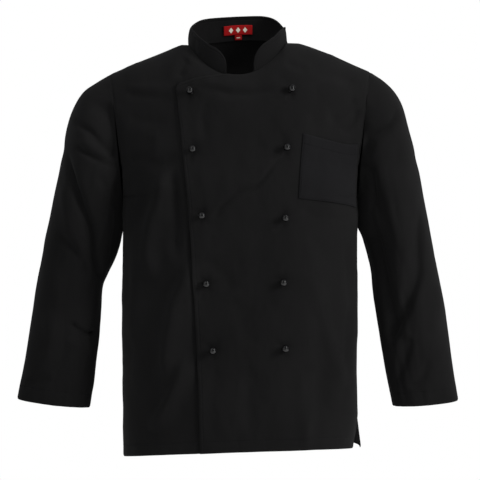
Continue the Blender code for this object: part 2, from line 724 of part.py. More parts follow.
def make_stud(name, mesh, x, z):
    """A stud on the overlap, standing straight out from the cloth."""
    share, level = place_on_front(x, z)
    here = torso_point(FRONT, share, level)
    across = torso_point(FRONT, share + SLOPE_STEP, level) - torso_point(FRONT, share - SLOPE_STEP, level)
    up = torso_point(FRONT, share, level + SLOPE_STEP) - torso_point(FRONT, share, level - SLOPE_STEP)
    out = across.cross(up).normalized()
    height = overlap_lift(here) + fold_height(FRONT_FOLDS, here.x, here.z)
    made = bpy.data.objects.new(name, mesh)
    made.location = here + out * (height + BUTTON_GAP) + Vector((0.0, -FACE_GAP, 0.0))
    made.rotation_euler = out.to_track_quat("Z", "Y").to_euler()
    COLLECTION.objects.link(made)
    screw = made.modifiers.new("turn", "SCREW")
    screw.steps = screw.render_steps = STUD_STEPS
    screw.use_merge_vertices = True
    screw.merge_threshold = 0.00001
    screw.use_normal_flip = True
    return made


def stud_mesh():
    mesh = bpy.data.meshes.new("ball_stud")
    built = bmesh.new()
    points = [built.verts.new((radius, 0.0, height)) for radius, height in stud_profile()]
    for a, b in zip(points, points[1:]):
        built.edges.new((a, b))
    built.to_mesh(mesh)
    built.free()
    mesh.materials.append(material("black_ball"))
    return mesh


def make_studs():
    mesh = stud_mesh()
    for number, row in enumerate(BUTTON_ROWS, 1):
        make_stud(f"button_right_{number}", mesh, row.right_x, row.right_z)
        make_stud(f"button_left_{number}", mesh, row.left_x, row.left_z)


for old in list(bpy.data.objects):
    bpy.data.objects.remove(old, do_unlink=True)
COLLECTION = bpy.data.collections.new("chef_jacket")
bpy.context.scene.collection.children.link(COLLECTION)

back = make_back()
right_front = make_front("right_front", RIGHT, lambda point: 0.0)
left_front = make_front("left_front", LEFT, overlap_lift)
make_sleeve("right_sleeve", RIGHT)
make_sleeve("left_sleeve", LEFT)
base = neckline(back, right_front, left_front)
make_collar(base)
make_patch("neck_label", NECK_LABEL, base)
make_patch("size_tab", SIZE_TAB, base)
make_pocket()
make_studs()
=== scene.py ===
"""The looks of the chef jacket: fine cloth with its folds and stitching, ball studs, label and light.

Metres, in the frame's axes: the front faces -Y and the wearer's left side is at +X. The cloth
repeats the form of the frame's solids with the same sizes, at a finer step.
"""

import math
from collections import namedtuple

import bpy
import numpy as np
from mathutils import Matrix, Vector


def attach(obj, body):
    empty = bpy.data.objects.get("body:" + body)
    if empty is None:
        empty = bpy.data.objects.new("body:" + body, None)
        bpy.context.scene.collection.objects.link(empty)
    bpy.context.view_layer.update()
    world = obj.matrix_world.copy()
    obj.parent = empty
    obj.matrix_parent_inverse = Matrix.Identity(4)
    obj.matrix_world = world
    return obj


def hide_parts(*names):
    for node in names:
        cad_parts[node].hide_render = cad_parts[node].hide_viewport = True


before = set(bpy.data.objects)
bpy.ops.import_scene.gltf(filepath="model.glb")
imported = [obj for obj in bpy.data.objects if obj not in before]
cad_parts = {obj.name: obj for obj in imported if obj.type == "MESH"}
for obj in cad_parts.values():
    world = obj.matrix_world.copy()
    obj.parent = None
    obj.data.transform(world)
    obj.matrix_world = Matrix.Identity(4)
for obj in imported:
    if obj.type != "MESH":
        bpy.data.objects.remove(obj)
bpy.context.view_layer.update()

FRONT, BACK = -1, 1  # the face of the torso: the sign of y
RIGHT, LEFT = -1, 1  # the wearer's side: the sign of x

# ---------------------------------------------------------------- sizes of the form

CLOTH_WALL = 0.0015
COLLAR_WALL = 0.0026
LABEL_WALL = 0.0007
LAYER_GAP = 0.0011
ARMPIT_Z = -0.270
TORSO_POWER = 2.6
Section = namedtuple("Section", "z half_width front back")
TORSO = (
    Section(z=-0.740, half_width=0.2110, front=0.127, back=0.112),
    Section(z=-0.600, half_width=0.2112, front=0.127, back=0.110),
    Section(z=-0.450, half_width=0.2112, front=0.124, back=0.104),
    Section(z=-0.270, half_width=0.2105, front=0.125, back=0.110),
)
HEM_SIDE_Z = {RIGHT: -0.738, LEFT: -0.7235}
HEM_RISE = {FRONT: 0.016, BACK: 0.004}
HEM_CURVE = 1.3
VENT_HEIGHT = 0.062
VENT_FLARE = {FRONT: -0.007, BACK: 0.008}
VENT_FROM, VENT_SPAN = 0.80, 0.20  # shares of the half width over which the vent opens
SHOULDER_Y = 0.004
SHOULDER_POINT = {RIGHT: (-0.234, -0.052), LEFT: (0.234, -0.048)}
SHOULDER_FLAT = 0.450
SHOULDER_CURVE = {RIGHT: 1.08, LEFT: 1.20}
ARMHOLE_DEPTH = {FRONT: 0.064, BACK: 0.062}
ARMHOLE_BOW = 0.006
ARMHOLE_POWER = 2.2
CHEST_ROUND_Y = 0.80
CHEST_ROUND_Z = 0.85
CHEST_FLATNESS = 3.2
CHEST_BLEND = 0.45  # the rise over which the skirt's round section turns into the chest's
NECK_CENTRE = (-0.005, 0.002)
NECK_HALF_WIDTH = 0.087
NECK_DEPTH = {FRONT: 0.084, BACK: 0.060}
NECK_POWER = 2.4
NECK_RISE = {FRONT: -0.015, BACK: 0.052}
LEFT_NECK_RISE = 0.0040
NECK_SOFTNESS = 0.30
EdgePoint = namedtuple("EdgePoint", "z x")
OVERLAP_EDGE = (
    EdgePoint(z=-0.740, x=-0.0685),
    EdgePoint(z=-0.592, x=-0.0726),
    EdgePoint(z=-0.407, x=-0.0810),
    EdgePoint(z=-0.268, x=-0.0915),
    EdgePoint(z=-0.151, x=-0.1030),
    EdgePoint(z=-0.080, x=-0.1115),
)
Trough = namedtuple("Trough", "z depth")
TROUGH_BESIDE_OVERLAP = (
    Trough(z=-0.72, depth=0.0012),
    Trough(z=-0.50, depth=0.0014),
    Trough(z=-0.38, depth=0.0030),
    Trough(z=-0.26, depth=0.0030),
    Trough(z=-0.15, depth=0.0018),
    Trough(z=-0.08, depth=0.0034),
)
TROUGH_OUT = 0.0012  # of the trough's middle from the overlap's edge
TROUGH_WIDTH = 0.0030
EDGE_LIFT = 0.0008  # how far the overlap's free edge stands off, with slow waves along it
TORSO_HOLLOW, SLEEVE_HOLLOW = 0.0014, 0.0040  # depths of the hollow beside the armhole seam
FLAP_START_X = -0.0235
FLAP_START_Z = -0.0555
FLAP_LENGTH = 0.088
FLAP_DROP = 0.018
FLAP_CURVE = 1.8
FLAP_CORNER = 0.009  # radius of the overlap's top corner
LIFT_FADE_X = (0.113, 0.140)
LIFT_FADE_Z = (-0.045, -0.020)
CollarHeight = namedtuple("CollarHeight", "around height")  # degrees from the middle back, plus to the left
COLLAR_HEIGHTS = (
    CollarHeight(-180, 0.0420),
    CollarHeight(-160, 0.0415),
    CollarHeight(-140, 0.0385),
    CollarHeight(-120, 0.0335),
    CollarHeight(-100, 0.0320),
    CollarHeight(-80, 0.0375),
    CollarHeight(-60, 0.0455),
    CollarHeight(-40, 0.0462),
    CollarHeight(0, 0.0440),
    CollarHeight(40, 0.0455),
    CollarHeight(60, 0.0425),
    CollarHeight(80, 0.0325),
    CollarHeight(100, 0.0288),
    CollarHeight(120, 0.0330),
    CollarHeight(140, 0.0385),
    CollarHeight(160, 0.0415),
    CollarHeight(180, 0.0420),
)
COLLAR_END_X = 0.0238
COLLAR_CORNER = 0.025
COLLAR_EASE = 0.012  # of collar over which its height is evened out
COLLAR_FOOT_OUT, COLLAR_FOOT_DOWN = 0.0007, 0.0006  # from the neckline
COLLAR_TURN_IN = 0.0038  # of the top edge beside the neck
COLLAR_LEAN = np.array((0.0, -0.10, 1.0)) / math.hypot(0.10, 1.0)
Corner = namedtuple("Corner", "x z")
POCKET_CORNERS = {
    "top_inner": Corner(x=0.1095, z=-0.160),
    "top_outer": Corner(x=0.2080, z=-0.176),
    "bottom_inner": Corner(x=0.1015, z=-0.272),
    "bottom_outer": Corner(x=0.2040, z=-0.290),
}
POCKET_GAP = 0.0010
POCKET_WIDTH, POCKET_LENGTH = 0.118, 0.112  # for the number of its columns and rows
POCKET_STEP = 0.0026
# The outer and inner points of a sleeve's rings, the middle's y, half the depth and how far the front dips.
Ring = namedtuple("Ring", "out_x out_z in_x in_z y depth dip")
SLEEVE_RINGS = {
    RIGHT: (
        Ring(-0.258, -0.067, -0.2120, -0.283, 0.001, 0.069, 0.000),
        Ring(-0.281, -0.084, -0.2125, -0.297, 0.001, 0.073, 0.000),
        Ring(-0.298, -0.112, -0.2130, -0.312, 0.001, 0.075, 0.001),
        Ring(-0.310, -0.148, -0.2135, -0.328, 0.001, 0.074, 0.002),
        Ring(-0.321, -0.205, -0.2155, -0.352, 0.001, 0.072, 0.003),
        Ring(-0.334, -0.265, -0.2255, -0.382, 0.002, 0.068, 0.004),
        Ring(-0.350, -0.343, -0.2385, -0.410, 0.003, 0.063, 0.004),
        Ring(-0.362, -0.405, -0.2475, -0.434, 0.003, 0.059, 0.004),
        Ring(-0.371, -0.460, -0.2495, -0.474, 0.002, 0.055, 0.004),
        Ring(-0.380, -0.520, -0.2545, -0.532, -0.001, 0.050, 0.004),
        Ring(-0.391, -0.580, -0.2620, -0.592, -0.005, 0.045, 0.004),
        Ring(-0.402, -0.633, -0.2705, -0.649, -0.009, 0.040, 0.001),
    ),
    LEFT: (
        Ring(0.256, -0.062, 0.2120, -0.282, 0.001, 0.069, 0.000),
        Ring(0.278, -0.083, 0.2125, -0.294, 0.001, 0.073, 0.000),
        Ring(0.293, -0.110, 0.2130, -0.306, 0.001, 0.075, 0.001),
        Ring(0.304, -0.150, 0.2145, -0.322, 0.001, 0.074, 0.002),
        Ring(0.319, -0.210, 0.2205, -0.348, 0.001, 0.072, 0.003),
        Ring(0.331, -0.275, 0.2290, -0.378, 0.002, 0.068, 0.004),
        Ring(0.345, -0.348, 0.2345, -0.408, 0.003, 0.063, 0.004),
        Ring(0.357, -0.408, 0.2370, -0.436, 0.003, 0.059, 0.004),
        Ring(0.3675, -0.462, 0.2425, -0.474, 0.002, 0.055, 0.004),
        Ring(0.3755, -0.520, 0.2525, -0.532, -0.001, 0.050, 0.004),
        Ring(0.3845, -0.580, 0.2640, -0.592, -0.005, 0.045, 0.004),
        Ring(0.3935, -0.636, 0.2750, -0.646, -0.009, 0.042, 0.001),
    ),
}
SLEEVE_POWER = 2.15
SLEEVE_GAP = 0.0005  # from the armhole seam
SLEEVE_RADIUS = 0.060  # turns degrees around a sleeve into metres of cloth

# ---------------------------------------------------------------- folds

# Folds are in millimetres. On the torso a path runs through x, z places. On a sleeve it runs through
# places around, z: around is in degrees, 0 at the outer line, 90 at the front, 180 inside and 270
# behind. height is above the smooth form: plus is a ridge, minus a trough. lean widens the flank to
# the left of the path.
Fold = namedtuple("Fold", "path width height lean", defaults=(1.0,))
FRONT_FOLDS = (
    # the wearer's right side, beside the overlap
    Fold(((-124, -215), (-137, -262), (-147, -310), (-156, -365), (-160, -425)), 16, 15, 0.8),
    Fold(((-114, -220), (-118, -265), (-113, -315), (-106, -395)), 9, -6.8),
    Fold(((-82, -372), (-98, -420), (-112, -462), (-121, -505), (-128, -560), (-134, -640)), 12, 14.5, 2.0),
    Fold(((-88, -540), (-104, -578), (-121, -614), (-140, -648), (-158, -692)), 9, 10.5, 1.9),
    Fold(((-176, -300), (-181, -400), (-178, -540), (-180, -640)), 14, 5.8),
    # across the overlap
    Fold(
        ((80, -190), (62, -215), (39, -240), (3, -262), (-18, -277), (-37, -292), (-43, -315)),
        6.2, -3.8, 0.8,
    ),
    Fold(((66, -205), (36, -230), (-14, -258)), 10, 1.6),
    Fold(((-82, -85), (-22, -90), (10, -89), (36, -85), (78, -86)), 7.5, -3.8),
    Fold(((-76, -72), (-20, -75), (30, -72)), 9, 1.8),
    Fold(((-58, -366), (-30, -400), (-10, -436)), 13, -3),
    Fold(((-20, -440), (10, -480), (20, -540)), 16, -2.4),
    Fold(((30, -560), (18, -620), (30, -690)), 16, -3),
    Fold(((-40, -560), (-52, -630), (-48, -700)), 12, -2),
    Fold(((-60, -104), (-66, -130), (-60, -165)), 9, -1.6),
    # the wearer's left side
    Fold(((118, -392), (132, -432), (149, -487), (158, -522), (171, -575), (178, -620)), 13, 4.6),
    Fold(((102, -560), (106, -610), (115, -670), (118, -712)), 12, 3.6),
    Fold(((140, -560), (142, -620), (138, -700)), 14, -3),
    Fold(((190, -330), (196, -450), (190, -620)), 9, -3),
    Fold(((211, -116), (196, -142), (172, -158)), 7, -4.6),
    Fold(((204, -98), (184, -118), (150, -134)), 8, -3.2),
    Fold(((104, -290), (140, -300), (200, -306)), 10, -2.4),
    Fold(((60, -60), (92, -66), (132, -60)), 11, -2),
    # shoulders and upper chest
    Fold(((-206, -92), (-165, -94), (-118, -94)), 7, -2.4),
    Fold(((-205, -78), (-170, -80), (-120, -78)), 8, 2.4),
    Fold(((-200, -132), (-170, -136), (-124, -134)), 10, -2.2),
    Fold(((-198, -215), (-170, -205), (-130, -212)), 11, -2.4),
    Fold(((-150, -150), (-144, -180), (-150, -215)), 12, 2.4),
    Fold(((206, -70), (172, -58), (130, -50)), 9, -2.8),
    Fold(((-92, -26), (-104, -42), (-112, -62)), 9, -3.6),
    Fold(((78, -30), (98, -40), (122, -44)), 8, -2.6),
)
BACK_FOLDS = (
    Fold(((-150, -150), (-120, -210), (-112, -300), (-130, -400)), 14, -5.8, 1.3),
    Fold(((155, -160), (128, -215), (118, -310), (128, -390)), 14, -6.1, 0.7),
    Fold(((-60, -330), (-78, -450), (-70, -560), (-76, -715)), 17, -9.3, 0.8),
    Fold(((-40, -360), (-50, -500), (-44, -690)), 18, 5.4),
    Fold(((75, -300), (64, -430), (74, -560), (88, -700)), 16, -8.6, 1.2),
    Fold(((50, -380), (36, -520), (48, -690)), 18, 4.5),
    Fold(((6, -440), (10, -560), (0, -700)), 13, -3.8),
    Fold(((-130, -430), (-142, -560), (-134, -700)), 15, -6.4),
    Fold(((140, -440), (134, -580), (146, -700)), 15, -5.8),
    Fold(((-176, -300), (-186, -430), (-178, -600)), 10, -4.8),
    Fold(((180, -310), (188, -440), (180, -620)), 10, -4.8),
    Fold(((-206, -120), (-170, -136), (-120, -140)), 8, -4.2),
    Fold(((206, -116), (172, -134), (124, -136)), 8, -4.2),
    Fold(((-202, -190), (-170, -190), (-130, -176)), 10, -4.5),
    Fold(((202, -180), (168, -186), (132, -178)), 10, -3.8),
    Fold(((-90, -36), (-40, -48), (20, -50), (78, -36)), 10, -2.9),
    Fold(((-60, -90), (0, -100), (60, -92)), 14, -1.9),
    Fold(((-110, -20), (-140, -36), (-180, -46)), 8, -2.9),
    Fold(((104, -20), (142, -34), (182, -44)), 8, -2.9),
)
SLEEVE_FOLDS = {
    RIGHT: (
        # front, from the shoulder down
        Fold(((44, -96), (58, -112), (74, -134), (90, -162), (106, -194), (126, -236)), 5.6, -9.2),
        Fold(((30, -128), (46, -140), (66, -154), (86, -175), (104, -194), (118, -214)), 4.6, -5.5, 0.8),
        Fold(((58, -166), (84, -186), (108, -201)), 7, 3.4),
        Fold(((52, -180), (72, -192), (94, -204), (124, -220)), 4.6, -5.3, 0.8),
        Fold(((94, -226), (122, -262), (138, -305)), 6.5, -3.3),
        Fold(
            ((32, -186), (52, -226), (73, -269), (96, -318), (119, -374), (136, -402), (158, -426)),
            5.8, -12.2, 1.2,
        ),
        Fold(((38, -236), (60, -290), (86, -350), (112, -400)), 12, 4.4),
        Fold(((128, -232), (142, -279), (146, -330), (156, -400)), 8.6, -6.9),
        Fold(((48, -332), (78, -357), (102, -385), (122, -424)), 7.2, -5.2),
        Fold(((98, -490), (116, -504), (134, -513), (164, -515)), 4.8, -5.7, 0.7),
        Fold(((88, -520), (120, -536), (150, -542)), 10, 2.6),
        Fold(((60, -470), (74, -520), (70, -580)), 14, 2.6),
        Fold(((34, -606), (58, -600), (84, -590)), 8.6, -3.9),
        # outside
        Fold(((-34, -160), (-8, -184), (24, -190)), 14, -1.6),
        Fold(((-42, -340), (-14, -372), (16, -378)), 14, -1.8),
        # behind
        Fold(((238, -110), (228, -150), (206, -215)), 9, -7.4, 0.6),
        Fold(((290, -130), (262, -158), (234, -196)), 8, -5.6),
        Fold(((300, -220), (276, -290), (246, -360), (214, -420)), 10, -7.8, 0.7),
        Fold(((196, -402), (236, -424), (288, -414), (316, -396)), 7.2, -8.3, 1.4),
        Fold(((200, -436), (240, -462), (290, -458)), 10, -6.2),
        Fold(((210, -380), (250, -394), (300, -376)), 12, 4.4),
        Fold(((214, -520), (250, -548), (286, -540)), 11, -4.8),
    ),
    LEFT: (
        Fold(
            ((124, -212), (106, -190), (94, -173), (82, -159), (66, -145), (48, -128), (36, -112)),
            4.6, -9.2, 1.3,
        ),
        Fold(((96, -150), (74, -118), (66, -98)), 9, 3),
        Fold(((112, -210), (120, -250), (130, -300)), 7.9, -5.5),
        Fold(
            (
                (46, -290), (50, -325), (59, -376), (70, -413),
                (90, -458), (112, -490), (132, -520), (150, -545),
            ),
            6.4, -9.2, 2.6,
        ),
        Fold(((146, -300), (142, -365), (135, -420), (133, -484), (138, -540)), 15, -6.4),
        Fold(((30, -420), (44, -470), (66, -520)), 15, 3),
        Fold(((122, -200), (130, -290), (132, -380), (130, -480), (126, -600)), 38, -11),
        Fold(((96, -520), (104, -538), (118, -570), (144, -614)), 6.4, -4, 1.6),
        Fold(((72, -560), (92, -590), (116, -612)), 6.5, -2.9),
        Fold(((-34, -170), (-6, -200), (22, -208)), 14, -1.6),
        Fold(((-44, -350), (-16, -384), (12, -392)), 14, -1.8),
        Fold(((236, -106), (226, -150), (204, -210)), 9, -7.4, 1.6),
        Fold(((292, -136), (264, -166), (232, -204)), 8, -5.6),
        Fold(((304, -230), (280, -300), (250, -366), (218, -424)), 10, -7.8, 1.4),
        Fold(((196, -410), (236, -432), (286, -424), (318, -404)), 7.2, -8.3, 0.7),
        Fold(((202, -446), (242, -470), (292, -464)), 10, -6.2),
        Fold(((208, -386), (248, -402), (298, -388)), 12, 4.4),
        Fold(((216, -530), (252, -556), (288, -546)), 11, -4.8),
    ),
}
COLLAR_FOLDS = (
    # places along the collar from its right end, and up it
    Fold(((352, 2), (350, 20), (354, 34)), 4, -0.9),
    Fold(((338, 4), (334, 20)), 5, -0.8),
    Fold(((70, 2), (76, 18), (70, 32)), 6, -0.9),
    Fold(((46, 0), (58, 12)), 6, -0.8),
    Fold(((190, 6), (192, 34)), 7, -0.6),
    Fold(((246, 8), (243, 36)), 7, -0.6),
)

# Sewing.
STEP = 0.0034  # the cloth meshes' step
SKIRT_LENGTH = 0.455  # of cloth below the armpit
CHEST_LENGTH = 0.320  # of cloth above it
CHEST_CROWDING = 1.18  # puts the rows of the chest closer to the armpit
FRONT_SIDE_WIDTH = 0.185  # from the overlap's edge to the side seam
BACK_SIDE_WIDTH = 0.200  # from the neck to the side seam
NECK_EDGE_WIDTH = 0.025  # from the neck to the overlap's edge
FINE_STEP = 0.0028
SLEEVE_COLUMNS = 122
SEAM_VALLEY = 0.0007  # how far a seam lies below the cloth on both sides
SEAM_WIDTH = 0.0026
EDGE_ROLL = 0.0009  # how far a folded edge turns down
EDGE_ROLL_WIDTH = 0.0016
HELD_SHARE = 0.15  # of a fold's height that is left at a seam
HELD_REACH = 0.020
EDGE_INSET = 0.0060  # topstitching from a free edge
HEM_INSET = 0.0200
CUFF_INSET = 0.0250
POCKET_INSET = 0.0020
POCKET_HEM = 0.0180
STITCH_LENGTH = 0.0023
STITCH_PITCH = 0.0031
THREAD_RADIUS = 0.00021

# Ball studs, at x, z places on the overlap.
ButtonRow = namedtuple("ButtonRow", "right_x right_z left_x left_z")
BUTTON_ROWS = (
    ButtonRow(right_x=-0.0853, right_z=-0.0868, left_x=0.0885, left_z=-0.0836),
    ButtonRow(right_x=-0.0801, right_z=-0.1873, left_x=0.0801, left_z=-0.1841),
    ButtonRow(right_x=-0.0648, right_z=-0.3013, left_x=0.0775, left_z=-0.3056),
    ButtonRow(right_x=-0.0574, right_z=-0.4200, left_x=0.0744, left_z=-0.4178),
    ButtonRow(right_x=-0.0463, right_z=-0.5362, left_x=0.0777, left_z=-0.5330),
)
STUDS = [(f"button_right_{i}", row.right_x, row.right_z) for i, row in enumerate(BUTTON_ROWS, 1)]
STUDS += [(f"button_left_{i}", row.left_x, row.left_z) for i, row in enumerate(BUTTON_ROWS, 1)]
BALL_RADIUS = 0.0070
BALL_RISE = 0.0018  # of the ball's underside from the cloth
STUD_SIDES = 40
STUD_GAP = 0.0004  # of the foot from the cloth
WELD_DISTANCE = 0.00001  # joins the points at a stud's two poles
DIMPLE = 0.0026
DIMPLE_RADIUS = 0.0110
RIPPLE = 0.00035  # five small creases that run into each stud
RIPPLE_RADIUS = 0.015


# ---------------------------------------------------------------- small maths


def blend(a, b, share):
    return a + (b - a) * share


def smooth(value):
    value = np.clip(value, 0.0, 1.0)
    return value * value * (3 - 2 * value)


def fade(value, span):
    return 1 - smooth((value - span[0]) / (span[1] - span[0]))


def read_table(rows, column, at):
    """A column of a table, between its rows too. The first column of each row says where it is."""
    return np.interp(at, [row[0] for row in rows], [getattr(row, column) for row in rows])


def hump(distance, reach):
    """1 at no distance, dying down smoothly beyond the reach."""
    return np.exp(-((distance / reach) ** 2))


def curve_at(a, b, c, d, share):
    """The place between b and c on the smooth curve through a, b, c and d."""
    straight, bent = (c - a) * share, (2 * a - 5 * b + 4 * c - d) * share**2
    return 0.5 * (2 * b + straight + bent + (3 * b - a - 3 * c + d) * share**3)


def with_ends(places):
    """The places and one more beyond each end, for a smooth curve through them all."""
    return np.concatenate([[2 * places[0] - places[1]], places, [2 * places[-1] - places[-2]]])


def lengths_along(line):
    return np.concatenate([[0], np.cumsum(np.linalg.norm(np.diff(line, axis=0), axis=1))])


def read_line(at, along, places):
    """The x, y and z of a line of places at lengths along it."""
    return np.stack([np.interp(at, along, places[:, k]) for k in range(3)], -1)


def roundness(turn, power):
    return (np.abs(np.sin(turn)) ** power + np.abs(np.cos(turn)) ** power) ** (-1 / power)


def share_at(turn):
    return np.sin(turn) * roundness(turn, TORSO_POWER)


def turn_at(share):
    depth = np.maximum(0.0, 1 - np.abs(share) ** TORSO_POWER) ** (1 / TORSO_POWER)
    return np.arctan2(share, depth)


def vectors(x, y, z):
    return np.stack(np.broadcast_arrays(x, y, z), -1)


def bisect(wrong, low, high, like):
    """For each item of like, the place between low and high where wrong turns from plus to minus."""
    low = np.full(np.shape(like), float(low))
    high = np.full(np.shape(like), float(high))
    for _ in range(36):
        middle = (low + high) / 2
        above = wrong(middle) > 0
        low = np.where(above, middle, low)
        high = np.where(above, high, middle)
    return (low + high) / 2


def soft_noise(across, along, size, seed):
    """Smooth heights between -1 and 1 over a plane. size is the length of its waves each way."""
    table = np.random.default_rng(seed).uniform(-1, 1, (64, 64))
    a, b = across / size[0] + 7.3, along / size[1] + 3.1
    i, j = np.floor(a).astype(int), np.floor(b).astype(int)
    s, t = smooth(a - i), smooth(b - j)
    low = blend(table[i % 64, j % 64], table[(i + 1) % 64, j % 64], s)
    high = blend(table[i % 64, (j + 1) % 64], table[(i + 1) % 64, (j + 1) % 64], s)
    return blend(low, high, t)


def rounded(path, parts=7):
    """A smooth curve through the places of a path."""
    path = np.array(path, float)
    ends = with_ends(path)
    curve = [path[0]]
    for corners in zip(ends, ends[1:], ends[2:], ends[3:]):
        curve += [curve_at(*corners, share) for share in np.arange(1, parts + 1) / parts]
    return np.array(curve)


FOLD_ENDS = 0.22  # the share of a fold's path over which each end dies down


def in_metres(folds, across=lambda place: place / 1000):
    """The folds in metres. across turns a place across the cloth into metres."""
    return [
        Fold([(across(a), b / 1000) for a, b in fold.path], fold.width / 1000, fold.height / 1000, fold.lean)
        for fold in folds
    ]


def fold_height(folds, across, along):
    """How far all the folds together move the cloth out at each place."""
    total = np.zeros(across.shape)
    for fold in folds:
        curve = rounded(fold.path)
        nearest = np.full(across.shape, 9.0)
        where = np.zeros(across.shape)
        left = np.zeros(across.shape, bool)
        for i, (start, end) in enumerate(zip(curve, curve[1:])):
            run = end - start
            to_x, to_z = across - start[0], along - start[1]
            share = np.clip((to_x * run[0] + to_z * run[1]) / (run @ run), 0, 1)
            away_x, away_z = to_x - run[0] * share, to_z - run[1] * share
            away = np.hypot(away_x, away_z)
            better = away < nearest
            nearest = np.where(better, away, nearest)
            where = np.where(better, (i + share) / (len(curve) - 1), where)
            left = np.where(better, run[0] * away_z - run[1] * away_x > 0, left)
        width = fold.width * np.where(left, fold.lean, 1.0)
        ends = smooth(where / FOLD_ENDS) * smooth((1 - where) / FOLD_ENDS)
        total += fold.height * hump(nearest, width) * ends
    return total


def spaced(length, step=STEP, fine_start=False, fine_end=False):
    """Shares from 0 to 1 along a length, a step apart, and closer at an end with an edge or a seam."""
    near = np.array([0.0, 0.0008, 0.0018, 0.0032]) / length
    start = near if fine_start else np.array([0.0])
    end = 1 - near[::-1] if fine_end else np.array([1.0])
    count = max(1, round((end[0] - start[-1]) * length / step))
    middle = np.linspace(start[-1], end[0], count + 1)[1:-1]
    return np.concatenate([start, middle, end])


# ---------------------------------------------------------------- the form


def hem_z(face, share):
    across = blend(HEM_SIDE_Z[RIGHT], HEM_SIDE_Z[LEFT], (share + 1) / 2)
    return across + HEM_RISE[face] * (1 - np.abs(share) ** TORSO_POWER) ** (HEM_CURVE / TORSO_POWER)


def armhole_point(side, face, turn):
    """The armhole seam: turn is 0 at the shoulder point and 180 degrees at the armpit."""
    top = np.array((SHOULDER_POINT[side][0], SHOULDER_Y, SHOULDER_POINT[side][1]))
    bottom = np.array((side * TORSO[-1].half_width, 0.0, ARMPIT_Z))
    reach = roundness(turn, ARMHOLE_POWER)
    up, out = np.cos(turn) * reach, np.sin(turn) * reach
    middle, half = (top + bottom) / 2, (top - bottom) / 2
    return vectors(
        middle[0] + half[0] * up - side * ARMHOLE_BOW * out,
        middle[1] + half[1] * up + face * np.where(face < 0, ARMHOLE_DEPTH[FRONT], ARMHOLE_DEPTH[BACK]) * out,
        middle[2] + half[2] * up,
    )


def skirt_point(face, share, level):
    bottom = hem_z(face, share)
    z = blend(bottom, ARMPIT_Z, level)
    depth = read_table(TORSO, "front" if face == FRONT else "back", z)
    turn = turn_at(share)
    vent = np.maximum(0.0, 1 - (z - bottom) / VENT_HEIGHT)
    x = read_table(TORSO, "half_width", z) * share
    x = x + VENT_FLARE[face] * vent * smooth((share - VENT_FROM) / VENT_SPAN)
    return vectors(x, face * depth * np.cos(turn) * roundness(turn, TORSO_POWER), z)


def chest_point(face, share, rise):
    rise = np.clip(rise, 0, 1)
    climb = rise * np.pi / 2
    is_left = share >= 0
    both = {side: armhole_point(side, face, np.pi - 2 * climb) for side in (RIGHT, LEFT)}
    edge = np.where(np.expand_dims(is_left, -1), both[LEFT], both[RIGHT])
    depth = TORSO[-1].front if face == FRONT else TORSO[-1].back
    lift = np.sin(climb) ** 2
    middle_y = blend(SHOULDER_Y, face * depth, np.maximum(0.0, np.cos(climb)) ** CHEST_ROUND_Y)
    middle_z = blend(ARMPIT_Z, 0.0, np.sin(climb) ** CHEST_ROUND_Z)
    share = np.abs(share)
    round_y = np.cos(turn_at(share)) * roundness(turn_at(share), TORSO_POWER)
    flat_y = 1 - share**CHEST_FLATNESS
    y = blend(edge[..., 1], middle_y, blend(round_y, flat_y, smooth(rise / CHEST_BLEND)))
    start = SHOULDER_FLAT * lift
    curve = np.where(is_left, SHOULDER_CURVE[LEFT], SHOULDER_CURVE[RIGHT])
    slope = np.maximum(0.0, (share - start) / (1 - start)) ** curve
    necks = {side: abs(neck_side_x(side) / SHOULDER_POINT[side][0]) for side in (RIGHT, LEFT)}
    neck_share = np.where(is_left, necks[LEFT], necks[RIGHT])
    into_neck, soft = 1 - (share / neck_share) ** 2, NECK_SOFTNESS * (1 - rise)
    into_neck = (into_neck + np.sqrt(into_neck**2 + soft**2)) / 2
    z = blend(middle_z, edge[..., 2], slope) + NECK_RISE[face] * lift * into_neck
    z = z + np.where(is_left, LEFT_NECK_RISE * lift * smooth(share / neck_share) * (1 - slope) ** 2, 0.0)
    return vectors(edge[..., 0] * share, y, z)


def neck_side_x(side):
    return NECK_CENTRE[0] + side * NECK_HALF_WIDTH


def torso_point(face, share, level):
    """One face of the torso: level is 0 at the hem, 1 at the armpit and 2 at the shoulder seam."""
    share, level = np.broadcast_arrays(share, level)
    below = skirt_point(face, share, np.minimum(level, 1.0))
    above = chest_point(face, share, np.maximum(level - 1, 0.0))
    return np.where(np.expand_dims(level <= 1, -1), below, above)


def neck_places(face, turns):
    """Shares and levels along the neckline. A turn of 0 is the face's middle, 90 degrees its left end."""
    reach = roundness(turns, NECK_POWER)
    x = NECK_CENTRE[0] + NECK_HALF_WIDTH * np.sin(turns) * reach
    y = NECK_CENTRE[1] + face * NECK_DEPTH[face] * np.cos(turns) * reach

    def share(rise):
        edges = [np.abs(armhole_point(side, face, np.pi * (1 - rise))[..., 0]) for side in (RIGHT, LEFT)]
        return x / np.where(x >= 0, edges[1], edges[0])

    rise = bisect(lambda r: face * (chest_point(face, share(r), r)[..., 1] - y), 0, 1, x)
    return share(rise), 1 + rise


def overlap_turn(level):
    """How far round from the middle of the front the overlap's free edge lies, at each level."""
    share = np.full(np.shape(level), -0.4)  # a first guess, put right by each round
    for _ in range(8):
        here = torso_point(FRONT, share, level)
        share = share * read_table(OVERLAP_EDGE, "x", here[..., 2]) / here[..., 0]
    return turn_at(-share)


def front_share(column, level):
    """The share of a front column: -1 and 1 are the two free edges, -2 and 2 the side seams."""
    edge = overlap_turn(level)
    inside = share_at(edge * column)
    outside = share_at(np.sign(column) * blend(edge, np.pi / 2, np.abs(column) - 1))
    return np.where(np.abs(column) <= 1, inside, outside)


